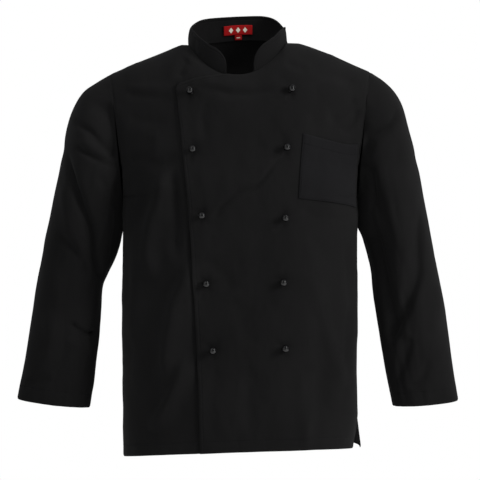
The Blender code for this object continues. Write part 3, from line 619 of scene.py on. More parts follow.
def flap_z(x):
    """The overlap's top edge at x, with its round corner."""
    along = np.maximum(0.0, (FLAP_START_X - x) / FLAP_LENGTH)
    into_corner = np.clip(OVERLAP_EDGE[-1].x + FLAP_CORNER - x, 0.0, FLAP_CORNER)
    cut = FLAP_CORNER - np.sqrt(FLAP_CORNER**2 - into_corner**2)
    return FLAP_START_Z - FLAP_DROP * along**FLAP_CURVE - cut


def place_on_front(x, z):
    """The share and level of the place on the front that is at x, z in the front view."""
    share, level = x / TORSO[-1].half_width, 1.0
    step, ease = 0.01, 0.7
    for _ in range(40):
        here = torso_point(FRONT, share, level)
        share = np.clip(share + (x - here[0]) / TORSO[-1].half_width, -0.999, 0.999)
        above = torso_point(FRONT, share, min(2.0, level + step))
        climb = above[2] - torso_point(FRONT, share, level)[2]
        level = float(np.clip(level + ease * step * (z - here[2]) / max(climb, 1e-5), 0.0, 1.99))
    return float(share), level


# ---------------------------------------------------------------- cloth grids

class Cloth:
    """A grid of cloth, with rows and columns of x, y, z points. A closed grid goes round a sleeve.

    Distances are metres of smooth cloth. Those from an edge, a seam and the hem are filled in
    piece by piece, and stay FAR where there is none.
    """

    FAR = 1.0

    def __init__(self, points, closed=False):
        self.points = points
        self.closed = closed
        up = np.linalg.norm(np.diff(points, axis=0), axis=-1)
        around = self.all_round()
        across = np.linalg.norm(np.diff(around, axis=1), axis=-1)
        self.along = np.concatenate([np.zeros((1, up.shape[1])), np.cumsum(up, 0)])
        self.across = np.concatenate([np.zeros((across.shape[0], 1)), np.cumsum(across, 1)], 1)
        shown = self.across[:, :-1] if closed else self.across
        self.from_first_row, self.from_last_row = self.along, self.along[-1] - self.along
        self.from_first_column = shown
        self.from_last_column = self.across[:, -1:] - shown
        self.from_edge = np.full(shown.shape, self.FAR)
        self.from_seam = np.full(shown.shape, self.FAR)
        self.from_hem = np.full(shown.shape, self.FAR)

    def all_round(self):
        """The points, with the first column again at the end of a closed grid."""
        return np.concatenate([self.points, self.points[:, :1]], 1) if self.closed else self.points

    def area(self):
        p = self.all_round()
        crossed = np.cross(p[1:, 1:] - p[:-1, :-1], p[1:, :-1] - p[:-1, 1:])
        return float(np.linalg.norm(crossed, axis=-1).sum() / 2)

    def normals(self):
        p = self.points
        if self.closed:
            across = np.roll(p, -1, 1) - np.roll(p, 1, 1)
        else:
            across = np.gradient(p, axis=1)
        normal = np.cross(across, np.gradient(p, axis=0))
        normal /= np.linalg.norm(normal, axis=-1, keepdims=True) + 1e-12
        middle_x = p[..., 0].mean() if self.closed else 0.0
        outward = (p - (middle_x, 0, 0)) * (1, 1, 0)
        return normal * np.sign((normal * outward).sum())

    def move_out(self, height):
        self.points = self.points + self.normals() * height[..., None]


def seam_valley(distance):
    return -SEAM_VALLEY * hump(distance, SEAM_WIDTH)


def rolled_edge(distance):
    """A folded edge turns down over its last millimetre."""
    return -EDGE_ROLL * hump(distance, EDGE_ROLL_WIDTH)


def wrinkles(across, along, seed):
    """Slight unevenness that all worn cloth has."""
    broad = 0.0022 * soft_noise(across, along, (0.045, 0.095), seed)
    small = 0.0009 * soft_noise(across, along, (0.019, 0.034), seed + 1)
    return broad + small + 0.00025 * soft_noise(across, along, (0.008, 0.012), seed + 2)


def armhole_hollow(distance, z, depth):
    """The armhole lies in a hollow from the lower shoulder to the armpit."""
    below_shoulder, above_armpit = smooth((-0.100 - z) / 0.05), smooth((z + 0.285) / 0.03)
    return -depth * hump(distance, 0.010) * below_shoulder * above_armpit


def held_by_seam(distance):
    """Folds die down towards a seam, so that the pieces on both sides of it meet."""
    return blend(HELD_SHARE, 1.0, smooth(distance / HELD_REACH))


def puckers(distance, along, seed, reach=0.012, size=0.010, height=0.0004):
    """Small gathers that a seam or a line of stitches pulls up."""
    wave = soft_noise(along, along * 0, (size, 1.0), seed)
    return height * wave * hump(distance, reach)


def wandering(across, along, seed, reach=0.0045):
    """Moves places a little, so that a fold's path is not too even."""
    return (
        across + reach * soft_noise(across, along, (0.035, 0.045), seed),
        along + reach * soft_noise(across, along, (0.035, 0.045), seed + 50),
    )


def stud_dimples(x, z):
    total = np.zeros(x.shape)
    for i, (_, stud_x, stud_z) in enumerate(STUDS):
        away = np.hypot(x - stud_x, z - stud_z)
        angle = np.arctan2(z - stud_z, x - stud_x)
        total -= DIMPLE * hump(away, DIMPLE_RADIUS)
        total += RIPPLE * np.cos(5 * angle + i) * hump(away - RIPPLE_RADIUS, 0.008)
    return total


def overlap_lift(x, z):
    return (CLOTH_WALL + LAYER_GAP) * fade(x, LIFT_FADE_X) * fade(z, LIFT_FADE_Z)


def front_relief(x, z):
    """Folds and unevenness of all that lies on the front, which moves together."""
    return fold_height(in_metres(FRONT_FOLDS), *wandering(x, z, 11)) + wrinkles(x, z, 21)


def torso_rows(tops):
    """The level of every point, in rows from the hem up to each column's own top."""
    skirt = spaced(SKIRT_LENGTH, fine_start=True)
    chest = spaced(CHEST_LENGTH, fine_end=True)[1:] ** CHEST_CROWDING
    return np.concatenate([np.tile(skirt[:, None], (1, len(tops))), 1 + chest[:, None] * (tops - 1)])


def front_columns():
    """Columns from the wearer's right side seam (-2) to the left one (2), and the levels of their tops."""
    flap_sine = (FLAP_START_X - NECK_CENTRE[0]) / NECK_HALF_WIDTH
    flap_turn = math.atan2(flap_sine, (1 - abs(flap_sine) ** NECK_POWER) ** (1 / NECK_POWER))
    turns = np.concatenate(
        [np.linspace(-np.pi / 2, flap_turn, 30), np.linspace(flap_turn, np.pi / 2, 42)[1:]]
    )
    share, level = neck_places(FRONT, turns)
    necks = turn_at(share) / overlap_turn(level)
    side = 2 - spaced(FRONT_SIDE_WIDTH, fine_start=True)
    between = spaced(NECK_EDGE_WIDTH, FINE_STEP)[1:-1]
    right = np.concatenate([-side, blend(-1.0, necks[0], between)])
    left = np.concatenate([blend(necks[-1], 1.0, between), side[::-1]])
    return around_neck(right, necks, left, level)


def around_neck(right, necks, left, neck_tops):
    """All columns, the levels of their tops, and which of them end at the neckline."""
    neck_tops[[0, -1]] = 2.0
    tops = np.concatenate([np.full(len(right), 2.0), neck_tops, np.full(len(left), 2.0)])
    columns = np.concatenate([right, necks, left])
    place = np.arange(len(columns)) - len(right)
    return columns, tops, (place >= 0) & (place < len(necks))


def make_front_cloth(mirror):
    """One front from its side seam to its free edge. mirror is 1 for the wearer's left, -1 for the right."""
    columns, tops, is_neck = front_columns()
    half_overlap = 0.09
    near_edge = -mirror * (1 - np.array([0.0, 0.0008, 0.0018, 0.0030]) / half_overlap)
    keep = columns * mirror > near_edge[-1] * mirror + 0.012

    def with_edge(old, new):
        return np.concatenate([new, old[keep]] if mirror == LEFT else [old[keep], new])

    columns = with_edge(columns, near_edge[::mirror])
    tops = with_edge(tops, np.full(4, 2.0))
    is_neck = with_edge(is_neck, np.zeros(4, bool))

    def place(level):
        return torso_point(FRONT, front_share(columns, level), level)

    flap = bisect(lambda level: flap_z(place(level)[..., 0] * mirror) - place(level)[..., 2], 1, 2, columns)
    under_flap = (columns * mirror < 0) & (place(tops)[..., 0] * mirror < FLAP_START_X + 1e-5)
    tops = np.where(under_flap, np.minimum(tops, flap), tops)
    levels = torso_rows(tops)
    cloth = Cloth(torso_point(FRONT, front_share(columns[None, :], levels), levels))
    x, z = cloth.points[..., 0], cloth.points[..., 2]
    cloth.is_neck = is_neck & ~under_flap
    free, side = (cloth.from_first_column, cloth.from_last_column)[:: mirror]
    cloth.from_free = free
    armhole = np.where(levels > 1, side, cloth.FAR)
    cloth.from_edge = np.minimum(free, np.where(under_flap, cloth.from_last_row, cloth.FAR))
    cloth.from_seam = np.minimum(side, np.where(under_flap, cloth.FAR, cloth.from_last_row))
    cloth.from_hem = cloth.from_first_row
    height = (front_relief(x, z) + stud_dimples(x, z)) * held_by_seam(cloth.from_seam)
    height += seam_valley(cloth.from_seam) + rolled_edge(np.minimum(cloth.from_edge, cloth.from_hem))
    height += armhole_hollow(armhole, z, TORSO_HOLLOW) + puckers(armhole, z, 31)
    height += puckers(cloth.from_edge - EDGE_INSET, z + x, 33, reach=0.006, height=0.0002)
    height += puckers(cloth.from_hem - HEM_INSET, x, 35, size=0.014)
    if mirror == LEFT:
        height += overlap_lift(x, z)
        height += EDGE_LIFT * (1.7 + soft_noise(z, z * 0, (0.070, 1.0), 37)) * np.exp(-free / 0.024)
    else:
        from_trough = x - read_table(OVERLAP_EDGE, "x", z) + TROUGH_OUT
        trough = read_table(TROUGH_BESIDE_OVERLAP, "depth", z) * smooth((-0.070 - z) / 0.01)
        height -= trough * hump(from_trough, TROUGH_WIDTH)
    cloth.move_out(height)
    return cloth


def make_back_cloth():
    shares, neck_tops = neck_places(BACK, np.linspace(-np.pi / 2, np.pi / 2, 64))
    necks = turn_at(shares)
    right = blend(-np.pi / 2, necks[0], spaced(BACK_SIDE_WIDTH, fine_start=True)[:-1])
    left = blend(necks[-1], np.pi / 2, spaced(BACK_SIDE_WIDTH, fine_end=True)[1:])
    columns, tops, is_neck = around_neck(right, necks, left, neck_tops)
    levels = torso_rows(tops)
    cloth = Cloth(torso_point(BACK, share_at(columns)[None, :], levels))
    x, z = cloth.points[..., 0], cloth.points[..., 2]
    cloth.is_neck = is_neck
    side = np.minimum(cloth.from_first_column, cloth.from_last_column)
    cloth.from_seam = np.minimum(side, cloth.from_last_row)
    cloth.from_hem = cloth.from_first_row
    height = fold_height(in_metres(BACK_FOLDS), *wandering(x, z, 41)) + wrinkles(x, z, 51)
    height = height * held_by_seam(cloth.from_seam)
    height += seam_valley(cloth.from_seam) + rolled_edge(cloth.from_hem)
    armhole = np.where(levels > 1, side, cloth.FAR)
    height += puckers(armhole, z, 61) + armhole_hollow(armhole, z, TORSO_HOLLOW)
    height += puckers(cloth.from_hem - HEM_INSET, x, 63, size=0.014)
    cloth.move_out(height)
    return cloth


def sleeve_rings(side, turns):
    """The armhole seam, then the sleeve's rings down to the cuff. A turn of 0 is the outer line."""
    is_front = np.sin(turns) >= 0
    from_top = np.where(is_front, turns % (2 * np.pi), 2 * np.pi - turns % (2 * np.pi))
    seams = {face: armhole_point(side, face, from_top) for face in (FRONT, BACK)}
    rings = [np.where(is_front[:, None], seams[FRONT], seams[BACK]) + (side * SLEEVE_GAP, 0, 0)]
    reach = roundness(turns, SLEEVE_POWER)[:, None]
    up, front = np.cos(turns)[:, None] * reach, np.sin(turns)[:, None] * reach
    for ring in SLEEVE_RINGS[side]:
        outer, inner = np.array((ring.out_x, ring.y, ring.out_z)), np.array((ring.in_x, ring.y, ring.in_z))
        forward = np.array((0.0, -ring.depth, -ring.dip))
        rings.append((outer + inner) / 2 + (outer - inner) / 2 * up + forward * front)
    return np.array(rings)


def make_sleeve_cloth(side):
    turns = np.linspace(0, 2 * np.pi, SLEEVE_COLUMNS + 1)[:-1] + np.pi
    cloth = Cloth(sleeve_rows(sleeve_rings(side, turns)), closed=True)
    z = cloth.points[..., 2]
    around = np.broadcast_to(turns[None, :] % (2 * np.pi), z.shape)
    across = around * SLEEVE_RADIUS
    cloth.from_seam = cloth.from_first_row
    cloth.from_hem = cloth.from_last_row
    folds = in_metres(SLEEVE_FOLDS[side], lambda degrees: math.radians(degrees) * SLEEVE_RADIUS)
    fold_across, fold_z = wandering(across, z, 71 + side, reach=0.0020)
    height = fold_height(folds, fold_across, fold_z)
    height += fold_height(folds, fold_across - 2 * np.pi * SLEEVE_RADIUS, fold_z)
    free = smooth(cloth.from_first_row / 0.010)  # of the armhole seam
    height = height * blend(0.3, 1.0, free)
    ring_x, ring_y = 2 * SLEEVE_RADIUS * np.cos(around), 2 * SLEEVE_RADIUS * np.sin(around)
    steady = 1 - 0.6 * hump(np.abs(np.angle(np.exp(1j * around))), 0.5)  # keeps the outline even
    height += wrinkles(ring_x + ring_y * 0.7, z * 0.8 + ring_y * 0.5, 81 + side) * free * steady
    underarm = smooth((z + 0.350) / 0.03)  # the hidden part against the body has no folds
    height += hump(around - np.pi, 0.6) * (0.0042 * underarm * free - height * underarm)
    height += armhole_hollow(cloth.from_first_row, z, SLEEVE_HOLLOW) * (1 - hump(around - np.pi, 1.1))
    height += seam_valley(cloth.from_first_row) + rolled_edge(cloth.from_hem)
    height += 0.6 * seam_valley(np.abs(around - np.pi) * SLEEVE_RADIUS)
    height += puckers(cloth.from_first_row, across, 91 + side, reach=0.014, size=0.009, height=0.0007)
    height += puckers(cloth.from_hem - CUFF_INSET, across, 93, size=0.012)
    cloth.move_out(height)
    return cloth


def sleeve_rows(rings):
    """Rows a step apart down a sleeve, on smooth curves through its rings."""
    ends = with_ends(rings)
    rows = []
    for i in range(len(rings) - 1):
        corners = ends[i : i + 4]
        length = np.linalg.norm(corners[2] - corners[1], axis=-1).mean()
        first, last = i == 0, i == len(rings) - 2
        shares = spaced(length, fine_start=first, fine_end=last)[0 if first else 1 :]
        rows += [curve_at(*corners, share) for share in shares]
    return np.array(rows)


def neckline(right_front, back, left_front):
    """The line that the collar stands on, from its right end round the back to its left end."""
    parts = []
    for cloth, side in ((right_front, RIGHT), (left_front, LEFT)):
        line = cloth.points[-1][cloth.is_neck]
        line = line[np.argsort(line[:, 0] * side)]
        cut = np.interp(COLLAR_END_X, line[:, 0] * side, np.arange(len(line)))
        low = int(math.floor(cut))
        end = blend(line[low], line[low + 1], cut - low)
        parts.append(np.vstack([end, line[low + 1 :]]))
    behind = back.points[-1][back.is_neck]
    line = even_line(np.vstack([parts[0], behind[1:-1], parts[1][::-1]]), step=0.0022)
    return eased_line(line, reach=0.0060)


def even_line(line, step):
    """The same line with its points a step apart."""
    along = lengths_along(line)
    places = along[-1] * spaced(along[-1], step, fine_start=True, fine_end=True)
    return read_line(places, along, line)


def eased_line(line, reach):
    """The same line without small kinks. Its ends stay where they are."""
    along = lengths_along(line)
    eased = [np.average(line, axis=0, weights=hump(along - here, reach)) for here in along]
    from_end = np.minimum(along, along[-1] - along)
    return blend(line, np.array(eased), smooth(from_end / (3 * reach))[:, None])


def make_collar_cloth(base):
    along = lengths_along(base)
    around = np.degrees(np.arctan2(base[:, 0] - NECK_CENTRE[0], base[:, 1] - NECK_CENTRE[1]))
    height = read_table(COLLAR_HEIGHTS, "height", around)
    height = np.array([np.average(height, weights=hump(along - here, COLLAR_EASE)) for here in along])
    short = np.maximum(0.0, COLLAR_CORNER - np.minimum(along, along[-1] - along))
    height -= COLLAR_CORNER - np.sqrt(COLLAR_CORNER**2 - short**2)
    outward = (base - (*NECK_CENTRE, 0)) * (1, 1, 0)
    outward /= np.linalg.norm(outward, axis=1, keepdims=True)
    foot = base + outward * COLLAR_FOOT_OUT - (0, 0, COLLAR_FOOT_DOWN)
    up = spaced(0.042, 0.0024, fine_start=True, fine_end=True)
    points = foot[None] + COLLAR_LEAN * (height[None, :] * up[:, None])[..., None]
    beside = smooth((np.abs(np.sin(np.radians(around))) - 0.60) / 0.35)
    points = points - outward[None] * (COLLAR_TURN_IN * up[:, None] ** 3 * beside[None, :])[..., None]
    cloth = Cloth(points)
    cloth.from_edge = np.minimum(
        np.minimum(cloth.from_first_column, cloth.from_last_column), cloth.from_last_row
    )
    cloth.from_seam = cloth.from_first_row
    across = np.broadcast_to(along[None, :], points.shape[:2])
    relief = fold_height(in_metres(COLLAR_FOLDS), across, cloth.from_first_row)
    relief += 0.00035 * soft_noise(across, cloth.from_first_row, (0.026, 0.030), 101)
    relief += 0.0006 * np.sin(np.pi * np.broadcast_to(up[:, None], across.shape))
    relief += puckers(cloth.from_edge - EDGE_INSET, across, 103, reach=0.004, size=0.009, height=0.00015)
    relief += rolled_edge(cloth.from_edge) + 0.5 * seam_valley(cloth.from_seam)
    cloth.move_out(relief)
    return cloth


def make_pocket_cloth():
    corners = {name: place_on_front(corner.x, corner.z) for name, corner in POCKET_CORNERS.items()}
    corners = {name: (float(turn_at(share)), level) for name, (share, level) in corners.items()}
    down = spaced(POCKET_LENGTH, POCKET_STEP, fine_start=True, fine_end=True)[:, None]
    over = spaced(POCKET_WIDTH, POCKET_STEP, fine_start=True, fine_end=True)[None, :]

    def spread(i):
        inner = blend(corners["top_inner"][i], corners["bottom_inner"][i], down)
        outer = blend(corners["top_outer"][i], corners["bottom_outer"][i], down)
        return blend(inner, outer, over)

    points = torso_point(FRONT, share_at(spread(0)), spread(1))[::-1]
    cloth = Cloth(points)
    x, z = points[..., 0], points[..., 2]
    sewn = np.minimum(np.minimum(cloth.from_first_column, cloth.from_last_column), cloth.from_first_row)
    cloth.from_edge = sewn
    cloth.from_hem = cloth.from_last_row
    relief = front_relief(x, z) + overlap_lift(x, z)
    relief += CLOTH_WALL + POCKET_GAP + rolled_edge(np.minimum(sewn, cloth.from_last_row))
    middle = smooth(sewn / 0.03)
    relief += 0.0014 * middle * np.exp(-cloth.from_last_row / 0.030)
    relief += 0.0005 * middle * soft_noise(x, z, (0.030, 0.050), 111)
    relief += puckers(sewn - POCKET_INSET, x + z, 113, reach=0.004, size=0.009, height=0.00018)
    cloth.move_out(relief)
    return cloth


# ---------------------------------------------------------------- meshes


def new_object(name, points, faces, material):
    mesh = bpy.data.meshes.new(name)
    mesh.from_pydata(np.reshape(points, (-1, 3)).tolist(), [], faces)
    mesh.materials.append(material)
    mesh.shade_smooth()
    made = bpy.data.objects.new(name, mesh)
    bpy.context.scene.collection.objects.link(made)
    return made


def add_wall(made, wall):
    modifier = made.modifiers.new("wall", "SOLIDIFY")
    modifier.thickness = wall
    modifier.offset = -1.0


def band(first, count):
    """The faces between a ring of points that starts at point first and the next ring."""
    ring = [(first + k, first + (k + 1) % count) for k in range(count)]
    return [(a, b, b + count, a + count) for a, b in ring]


def cloth_object(name, cloth, wall, material):
    """A grid of cloth as an object with a wall, cloth coordinates in metres and its edge distances."""
    rows, count = cloth.points.shape[:2]
    wide = count if cloth.closed else count - 1
    j, i = np.mgrid[0 : rows - 1, 0:wide]
    k = (i + 1) % count
    corners = [j * count + i, j * count + k, (j + 1) * count + k, (j + 1) * count + i]
    faces = np.stack(corners, -1).reshape(-1, 4)
    normal = cloth.normals()
    quad = cloth.points.reshape(-1, 3)[faces]
    turn = np.cross(quad[:, 1] - quad[:, 0], quad[:, 3] - quad[:, 0])
    if (turn * normal.reshape(-1, 3)[faces[:, 0]]).sum() < 0:
        faces = faces[:, ::-1]
    made = new_object(name, cloth.points, faces.tolist(), material)
    add_wall(made, wall)
    mesh = made.data
    columns = faces % count
    wrapped = cloth.closed & (columns.max(1, keepdims=True) == count - 1) & (columns == 0)
    across = cloth.across[faces // count, np.where(wrapped, count, columns)]
    along = cloth.along[faces // count, columns]
    middle = cloth.across[:, -1:].mean() / 2
    layer = mesh.uv_layers.new(name="cloth")
    layer.uv.foreach_set("vector", np.stack([across - middle, along], -1).astype(np.float32).ravel())
    for attribute in ("from_edge", "from_seam", "from_hem"):
        values = mesh.attributes.new(attribute, "FLOAT", "POINT")
        values.data.foreach_set("value", getattr(cloth, attribute).astype(np.float32).ravel())
    mesh.set_sharp_from_angle(angle=math.radians(60))
    return made


def declare(piece, solid, slot, area=None):
    """Hangs a piece on the root body and hides the solid of the frame that it shows. Its slot and area are
    not used.
    """
    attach(piece, "root")
    if solid:
        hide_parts(solid)


# ---------------------------------------------------------------- stitching


def line_across(cloth, distance, inset):
    """A line of places where distance passes inset, one in each column, with their normals."""
    places, normals = cloth.points, cloth.normals()
    found = [inset_place(distance[:, i], places[:, i], normals[:, i], inset) for i in range(places.shape[1])]
    return [pair for pair in found if pair]


def line_down(cloth, distance, inset):
    """The same, one in each row, in the half of the cloth that is nearer to the edge."""
    places, normals = cloth.points, cloth.normals()
    half = places.shape[1] // 2
    near = slice(0, half) if distance[:, 0].mean() < distance[:, -1].mean() else slice(half, None)
    found = [inset_place(*row, inset) for row in zip(distance[:, near], places[:, near], normals[:, near])]
    return [pair for pair in found if pair]


def inset_place(distance, places, normals, inset):
    """The place and normal where the distance is the inset, or nothing where it never is."""
    order = np.argsort(distance)
    if distance[order[0]] > inset or distance[order[-1]] < inset:
        return None
    return tuple(read_line(inset, distance[order], values[order]) for values in (places, normals))


class Threads:
    """Gathers stitches into one mesh. Each is a short rod with pointed ends that dip into the cloth."""

    SIDES = 5
    # along the stitch, thickness and height, as shares of its length and radius
    PROFILE = ((-0.5, 0.15, -0.8), (-0.3, 1.0, 0.35), (0.3, 1.0, 0.35), (0.5, 0.15, -0.8))

    def __init__(self):
        self.points, self.faces = [], []

    def sew(self, line):
        places, normals = (np.array(values) for values in zip(*line))
        along = lengths_along(places)
        for middle in np.arange(STITCH_PITCH, along[-1] - STITCH_PITCH / 2, STITCH_PITCH):
            here = Vector(read_line(middle, along, places))
            ahead = Vector(read_line(middle + STITCH_LENGTH / 2, along, places))
            behind = Vector(read_line(middle - STITCH_LENGTH / 2, along, places))
            out = Vector(read_line(middle, along, normals)).normalized()
            run = (ahead - behind).normalized()
            self.stitch(here, run, out.cross(run).normalized(), out)

    def stitch(self, here, run, side, out):
        first = len(self.points)
        for place, size, rise in self.PROFILE:
            centre = here + run * (place * STITCH_LENGTH) + out * (rise * THREAD_RADIUS)
            for k in range(self.SIDES):
                angle = 2 * math.pi * k / self.SIDES
                ring = side * math.cos(angle) + out * math.sin(angle) * 0.8
                self.points.append(centre + ring * (THREAD_RADIUS * size))
        last = first + (len(self.PROFILE) - 1) * self.SIDES
        for start in range(first, last, self.SIDES):
            self.faces += band(start, self.SIDES)
        self.faces.append(tuple(reversed(range(first, first + self.SIDES))))
        self.faces.append(tuple(range(last, last + self.SIDES)))


# ---------------------------------------------------------------- shader groups


def feed(tree, made, inputs):
    """Sets a node's inputs: a socket is linked, and any other value is a constant."""
    for key, value in inputs.items():
        if isinstance(value, bpy.types.NodeSocket):
            tree.links.new(value, made.inputs[key])
        else:
            made.inputs[key].default_value = value


def node(tree, kind, inputs=None, **settings):
    made = tree.nodes.new("ShaderNode" + kind)
    for key, value in settings.items():
        setattr(made, key, value)
    feed(tree, made, inputs or {})
    return made


def calculator(tree):
    """Makes maths nodes in a tree: calc(operation, values) is the socket with the result."""

    def calc(operation, *values, clamp=False):
        return node(tree, "Math", dict(enumerate(values)), operation=operation, use_clamp=clamp).outputs[0]

    return calc


def noise(tree, place, scale, detail, roughness=0.5):
    inputs = {"Vector": place, "Scale": scale, "Detail": detail, "Roughness": roughness}
    return node(tree, "TexNoise", inputs).outputs["Fac"]


def mixed(tree, share, first, second, blend_type="MIX"):
    inputs = {0: share, 6: first, 7: second}
    return node(tree, "Mix", inputs, data_type="RGBA", blend_type=blend_type).outputs[2]


def bump(tree, height, strength, distance, **normal):
    inputs = {"Height": height, "Strength": strength, "Distance": distance, **normal}
    return node(tree, "Bump", inputs).outputs[0]


def new_group(name, inputs, **outputs):
    """A shader group, the sockets that it is given, and a way to set each of its results."""
    group = bpy.data.node_groups.new(name, "ShaderNodeTree")
    kinds = {type(None): "NodeSocketVector", tuple: "NodeSocketColor", float: "NodeSocketFloat"}
    for label, value in inputs.items():
        socket = group.interface.new_socket(name=label, in_out="INPUT", socket_type=kinds[type(value)])
        if value is not None:
            socket.default_value = value
    for label, kind in outputs.items():
        group.interface.new_socket(name=label, in_out="OUTPUT", socket_type="NodeSocket" + kind)
    given = group.nodes.new("NodeGroupInput").outputs
    results = group.nodes.new("NodeGroupOutput")
    return group, given, lambda **sockets: feed(group, results, sockets)


def build_twill():
    """Twill: raised diagonal ribs of yarn, each broken into floats. Shade is painted shade, dark in the
    grooves.
    """
    inputs = {"Cloth": None, "Rib": 0.0009, "Slub": 0.35}
    group, given, give = new_group("twill_weave", inputs, Height="Float", Shade="Float")
    calc = calculator(group)
    parts = node(group, "SeparateXYZ", {0: given["Cloth"]}).outputs
    wobble = noise(group, given["Cloth"], 420.0, 2.0)
    uneven = calc("MULTIPLY", calc("SUBTRACT", wobble, 0.5), given["Slub"])
    u = calc("DIVIDE", parts["X"], given["Rib"])
    v = calc("DIVIDE", parts["Y"], given["Rib"])
    diagonal = calc("ADD", calc("ADD", u, v), uneven)
    rib = calc("SINE", calc("MULTIPLY", diagonal, 2 * math.pi))
    broken = calc("ADD", v, calc("MULTIPLY", u, -2.0))
    floats = calc("SINE", calc("MULTIPLY", broken, 2 * math.pi))
    height = calc("ADD", calc("MULTIPLY", rib, 0.36), calc("MULTIPLY", floats, 0.14))
    # painted shade: lighter on the raised ribs, darker in the grooves between them
    shade = calc("ADD", calc("MULTIPLY", height, 0.5), 0.5)
    give(Height=calc("ADD", height, 0.5), Shade=shade)
    return group


def build_dye():
    """Uneven black dye: broad fading, streaks along the warp and fine lint."""
    inputs = {
        "Place": None,
        "Cloth": None,
        "Deep": (0.01, 0.01, 0.011, 1.0),
        "Faded": (0.02, 0.02, 0.022, 1.0),
        "Streaks": 0.35,
    }
    group, given, give = new_group("uneven_dye", inputs, Color="Color", Mask="Float")
    calc = calculator(group)
    broad = noise(group, given["Place"], 7.0, 3.0, 0.55)
    warp = node(group, "VectorMath", {0: given["Cloth"], 1: (900.0, 26.0, 1.0)}, operation="MULTIPLY")
    streak = noise(group, warp.outputs[0], 1.0, 2.0)
    lint = noise(group, given["Cloth"], 260.0, 4.0, 0.7)
    uneven = calc("ADD", calc("MULTIPLY", broad, 0.62), calc("MULTIPLY", lint, 0.25))
    streaks = calc("MULTIPLY", calc("SUBTRACT", streak, 0.5), given["Streaks"])
    above_middle = calc("SUBTRACT", calc("ADD", uneven, streaks), 0.43)
    mask = calc("MULTIPLY_ADD", above_middle, 2.2, 0.5, clamp=True)
    give(Color=mixed(group, mask, given["Deep"], given["Faded"]), Mask=mask)
    return group


def build_wear():
    """Rubbed edges: dye worn off in flecks within a reach of an edge."""
    inputs = {"Place": None, "Distance": 1.0, "Reach": 0.0018, "Amount": 0.6}
    group, given, give = new_group("rubbed_edge", inputs, Mask="Float")
    calc = calculator(group)
    near = calc("SUBTRACT", 1.0, calc("DIVIDE", given["Distance"], given["Reach"]), clamp=True)
    flecks = calc("MULTIPLY_ADD", noise(group, given["Place"], 190.0, 4.0), 2.6, -0.8, clamp=True)
    give(Mask=calc("MULTIPLY", calc("MULTIPLY", near, flecks), given["Amount"]))
    return group


def build_sewn_line():
    """A row of stitches pulls a groove into the cloth, and the turned hem behind it stands up a little."""
    inputs = {"Cloth": None, "Distance": 1.0, "Inset": 0.006, "Width": 0.0011}
    group, given, give = new_group("sewn_line", inputs, Height="Float")
    calc = calculator(group)
    away = calc("DIVIDE", calc("SUBTRACT", given["Distance"], given["Inset"]), given["Width"])
    groove = calc("EXPONENT", calc("MULTIPLY", calc("MULTIPLY", away, away), -1.0))
    hem = calc("MULTIPLY_ADD", away, -0.8, 0.5, clamp=True)
    uneven = calc("MULTIPLY_ADD", noise(group, given["Cloth"], 150.0, 2.0), 1.1, 0.45)
    give(Height=calc("SUBTRACT", calc("MULTIPLY", hem, 0.45), calc("MULTIPLY", groove, uneven)))
    return group


def build_gloss_marks():
    """Faint handling marks on polished plastic."""
    inputs = {"Place": None, "Low": 0.02, "High": 0.07}
    group, given, give = new_group("handling_marks", inputs, Roughness="Float", Height="Float")
    calc = calculator(group)
    smudge, fine = noise(group, given["Place"], 240.0, 3.0), noise(group, given["Place"], 1500.0, 2.0)
    span = calc("SUBTRACT", given["High"], given["Low"])
    give(Roughness=calc("MULTIPLY_ADD", smudge, span, given["Low"]), Height=fine)
    return group


TWILL = build_twill()
DYE = build_dye()
WEAR = build_wear()
SEWN = build_sewn_line()
MARKS = build_gloss_marks()


def placed(tree, group, **inputs):
    return node(tree, "Group", inputs, node_tree=group).outputs


def new_material(name):
    """A material, its tree, its shader and the place on the object."""
    made = bpy.data.materials.new(name)
    made.use_nodes = True
    tree = made.node_tree
    return made, tree, tree.nodes["Principled BSDF"], node(tree, "TexCoord").outputs["Object"]


def cloth_material(name, deep, faded, worn, hem_inset=HEM_INSET, edge_inset=EDGE_INSET):
    """Matt black twill: weave with painted shade in its grooves, uneven dye, rubbed edges and sunk rows of
    stitches.
    """
    made, tree, shader, place = new_material(name)
    calc = calculator(tree)
    cloth = node(tree, "UVMap", uv_map="cloth").outputs["UV"]
    edge = node(tree, "Attribute", attribute_name="from_edge").outputs["Fac"]
    hem = node(tree, "Attribute", attribute_name="from_hem").outputs["Fac"]
    twill = placed(tree, TWILL, Cloth=cloth)
    dye = placed(tree, DYE, Place=place, Cloth=cloth, Deep=deep, Faded=faded)
    wear = placed(tree, WEAR, Place=place, Distance=calc("MINIMUM", edge, hem), Amount=0.16)
    edge_line = placed(tree, SEWN, Cloth=cloth, Distance=edge, Inset=edge_inset)
    hem_line = placed(tree, SEWN, Cloth=cloth, Distance=hem, Inset=hem_inset)
    # the weave's painted shade, multiplied into the dye's colour
    painted_groove_shade = node(tree, "CombineColor", {i: twill["Shade"] for i in range(3)}).outputs[0]
    shaded = mixed(tree, 0.30, dye["Color"], painted_groove_shade, blend_type="MULTIPLY")
    weave = bump(tree, twill["Height"], 0.55, 0.00012)
    lines = calc("ADD", edge_line["Height"], hem_line["Height"])
    looks = {
        "Base Color": mixed(tree, wear["Mask"], shaded, worn),
        "Roughness": calc("MULTIPLY_ADD", dye["Mask"], 0.10, 0.80),
        "Normal": bump(tree, lines, 0.9, 0.00045, Normal=weave),
        "Specular IOR Level": 0.14,
        "Sheen Weight": 0.03,
        "Sheen Roughness": 0.45,
    }
    feed(tree, shader, looks)
    return made


def thread_material():
    made, tree, shader, place = new_material("black_thread")
    deep, faded = (0.007, 0.007, 0.008, 1.0), (0.015, 0.015, 0.017, 1.0)
    dye = placed(tree, DYE, Place=place, Cloth=place, Deep=deep, Faded=faded)
    feed(tree, shader, {"Base Color": dye["Color"], "Roughness": 0.62, "Specular IOR Level": 0.25})
    return made


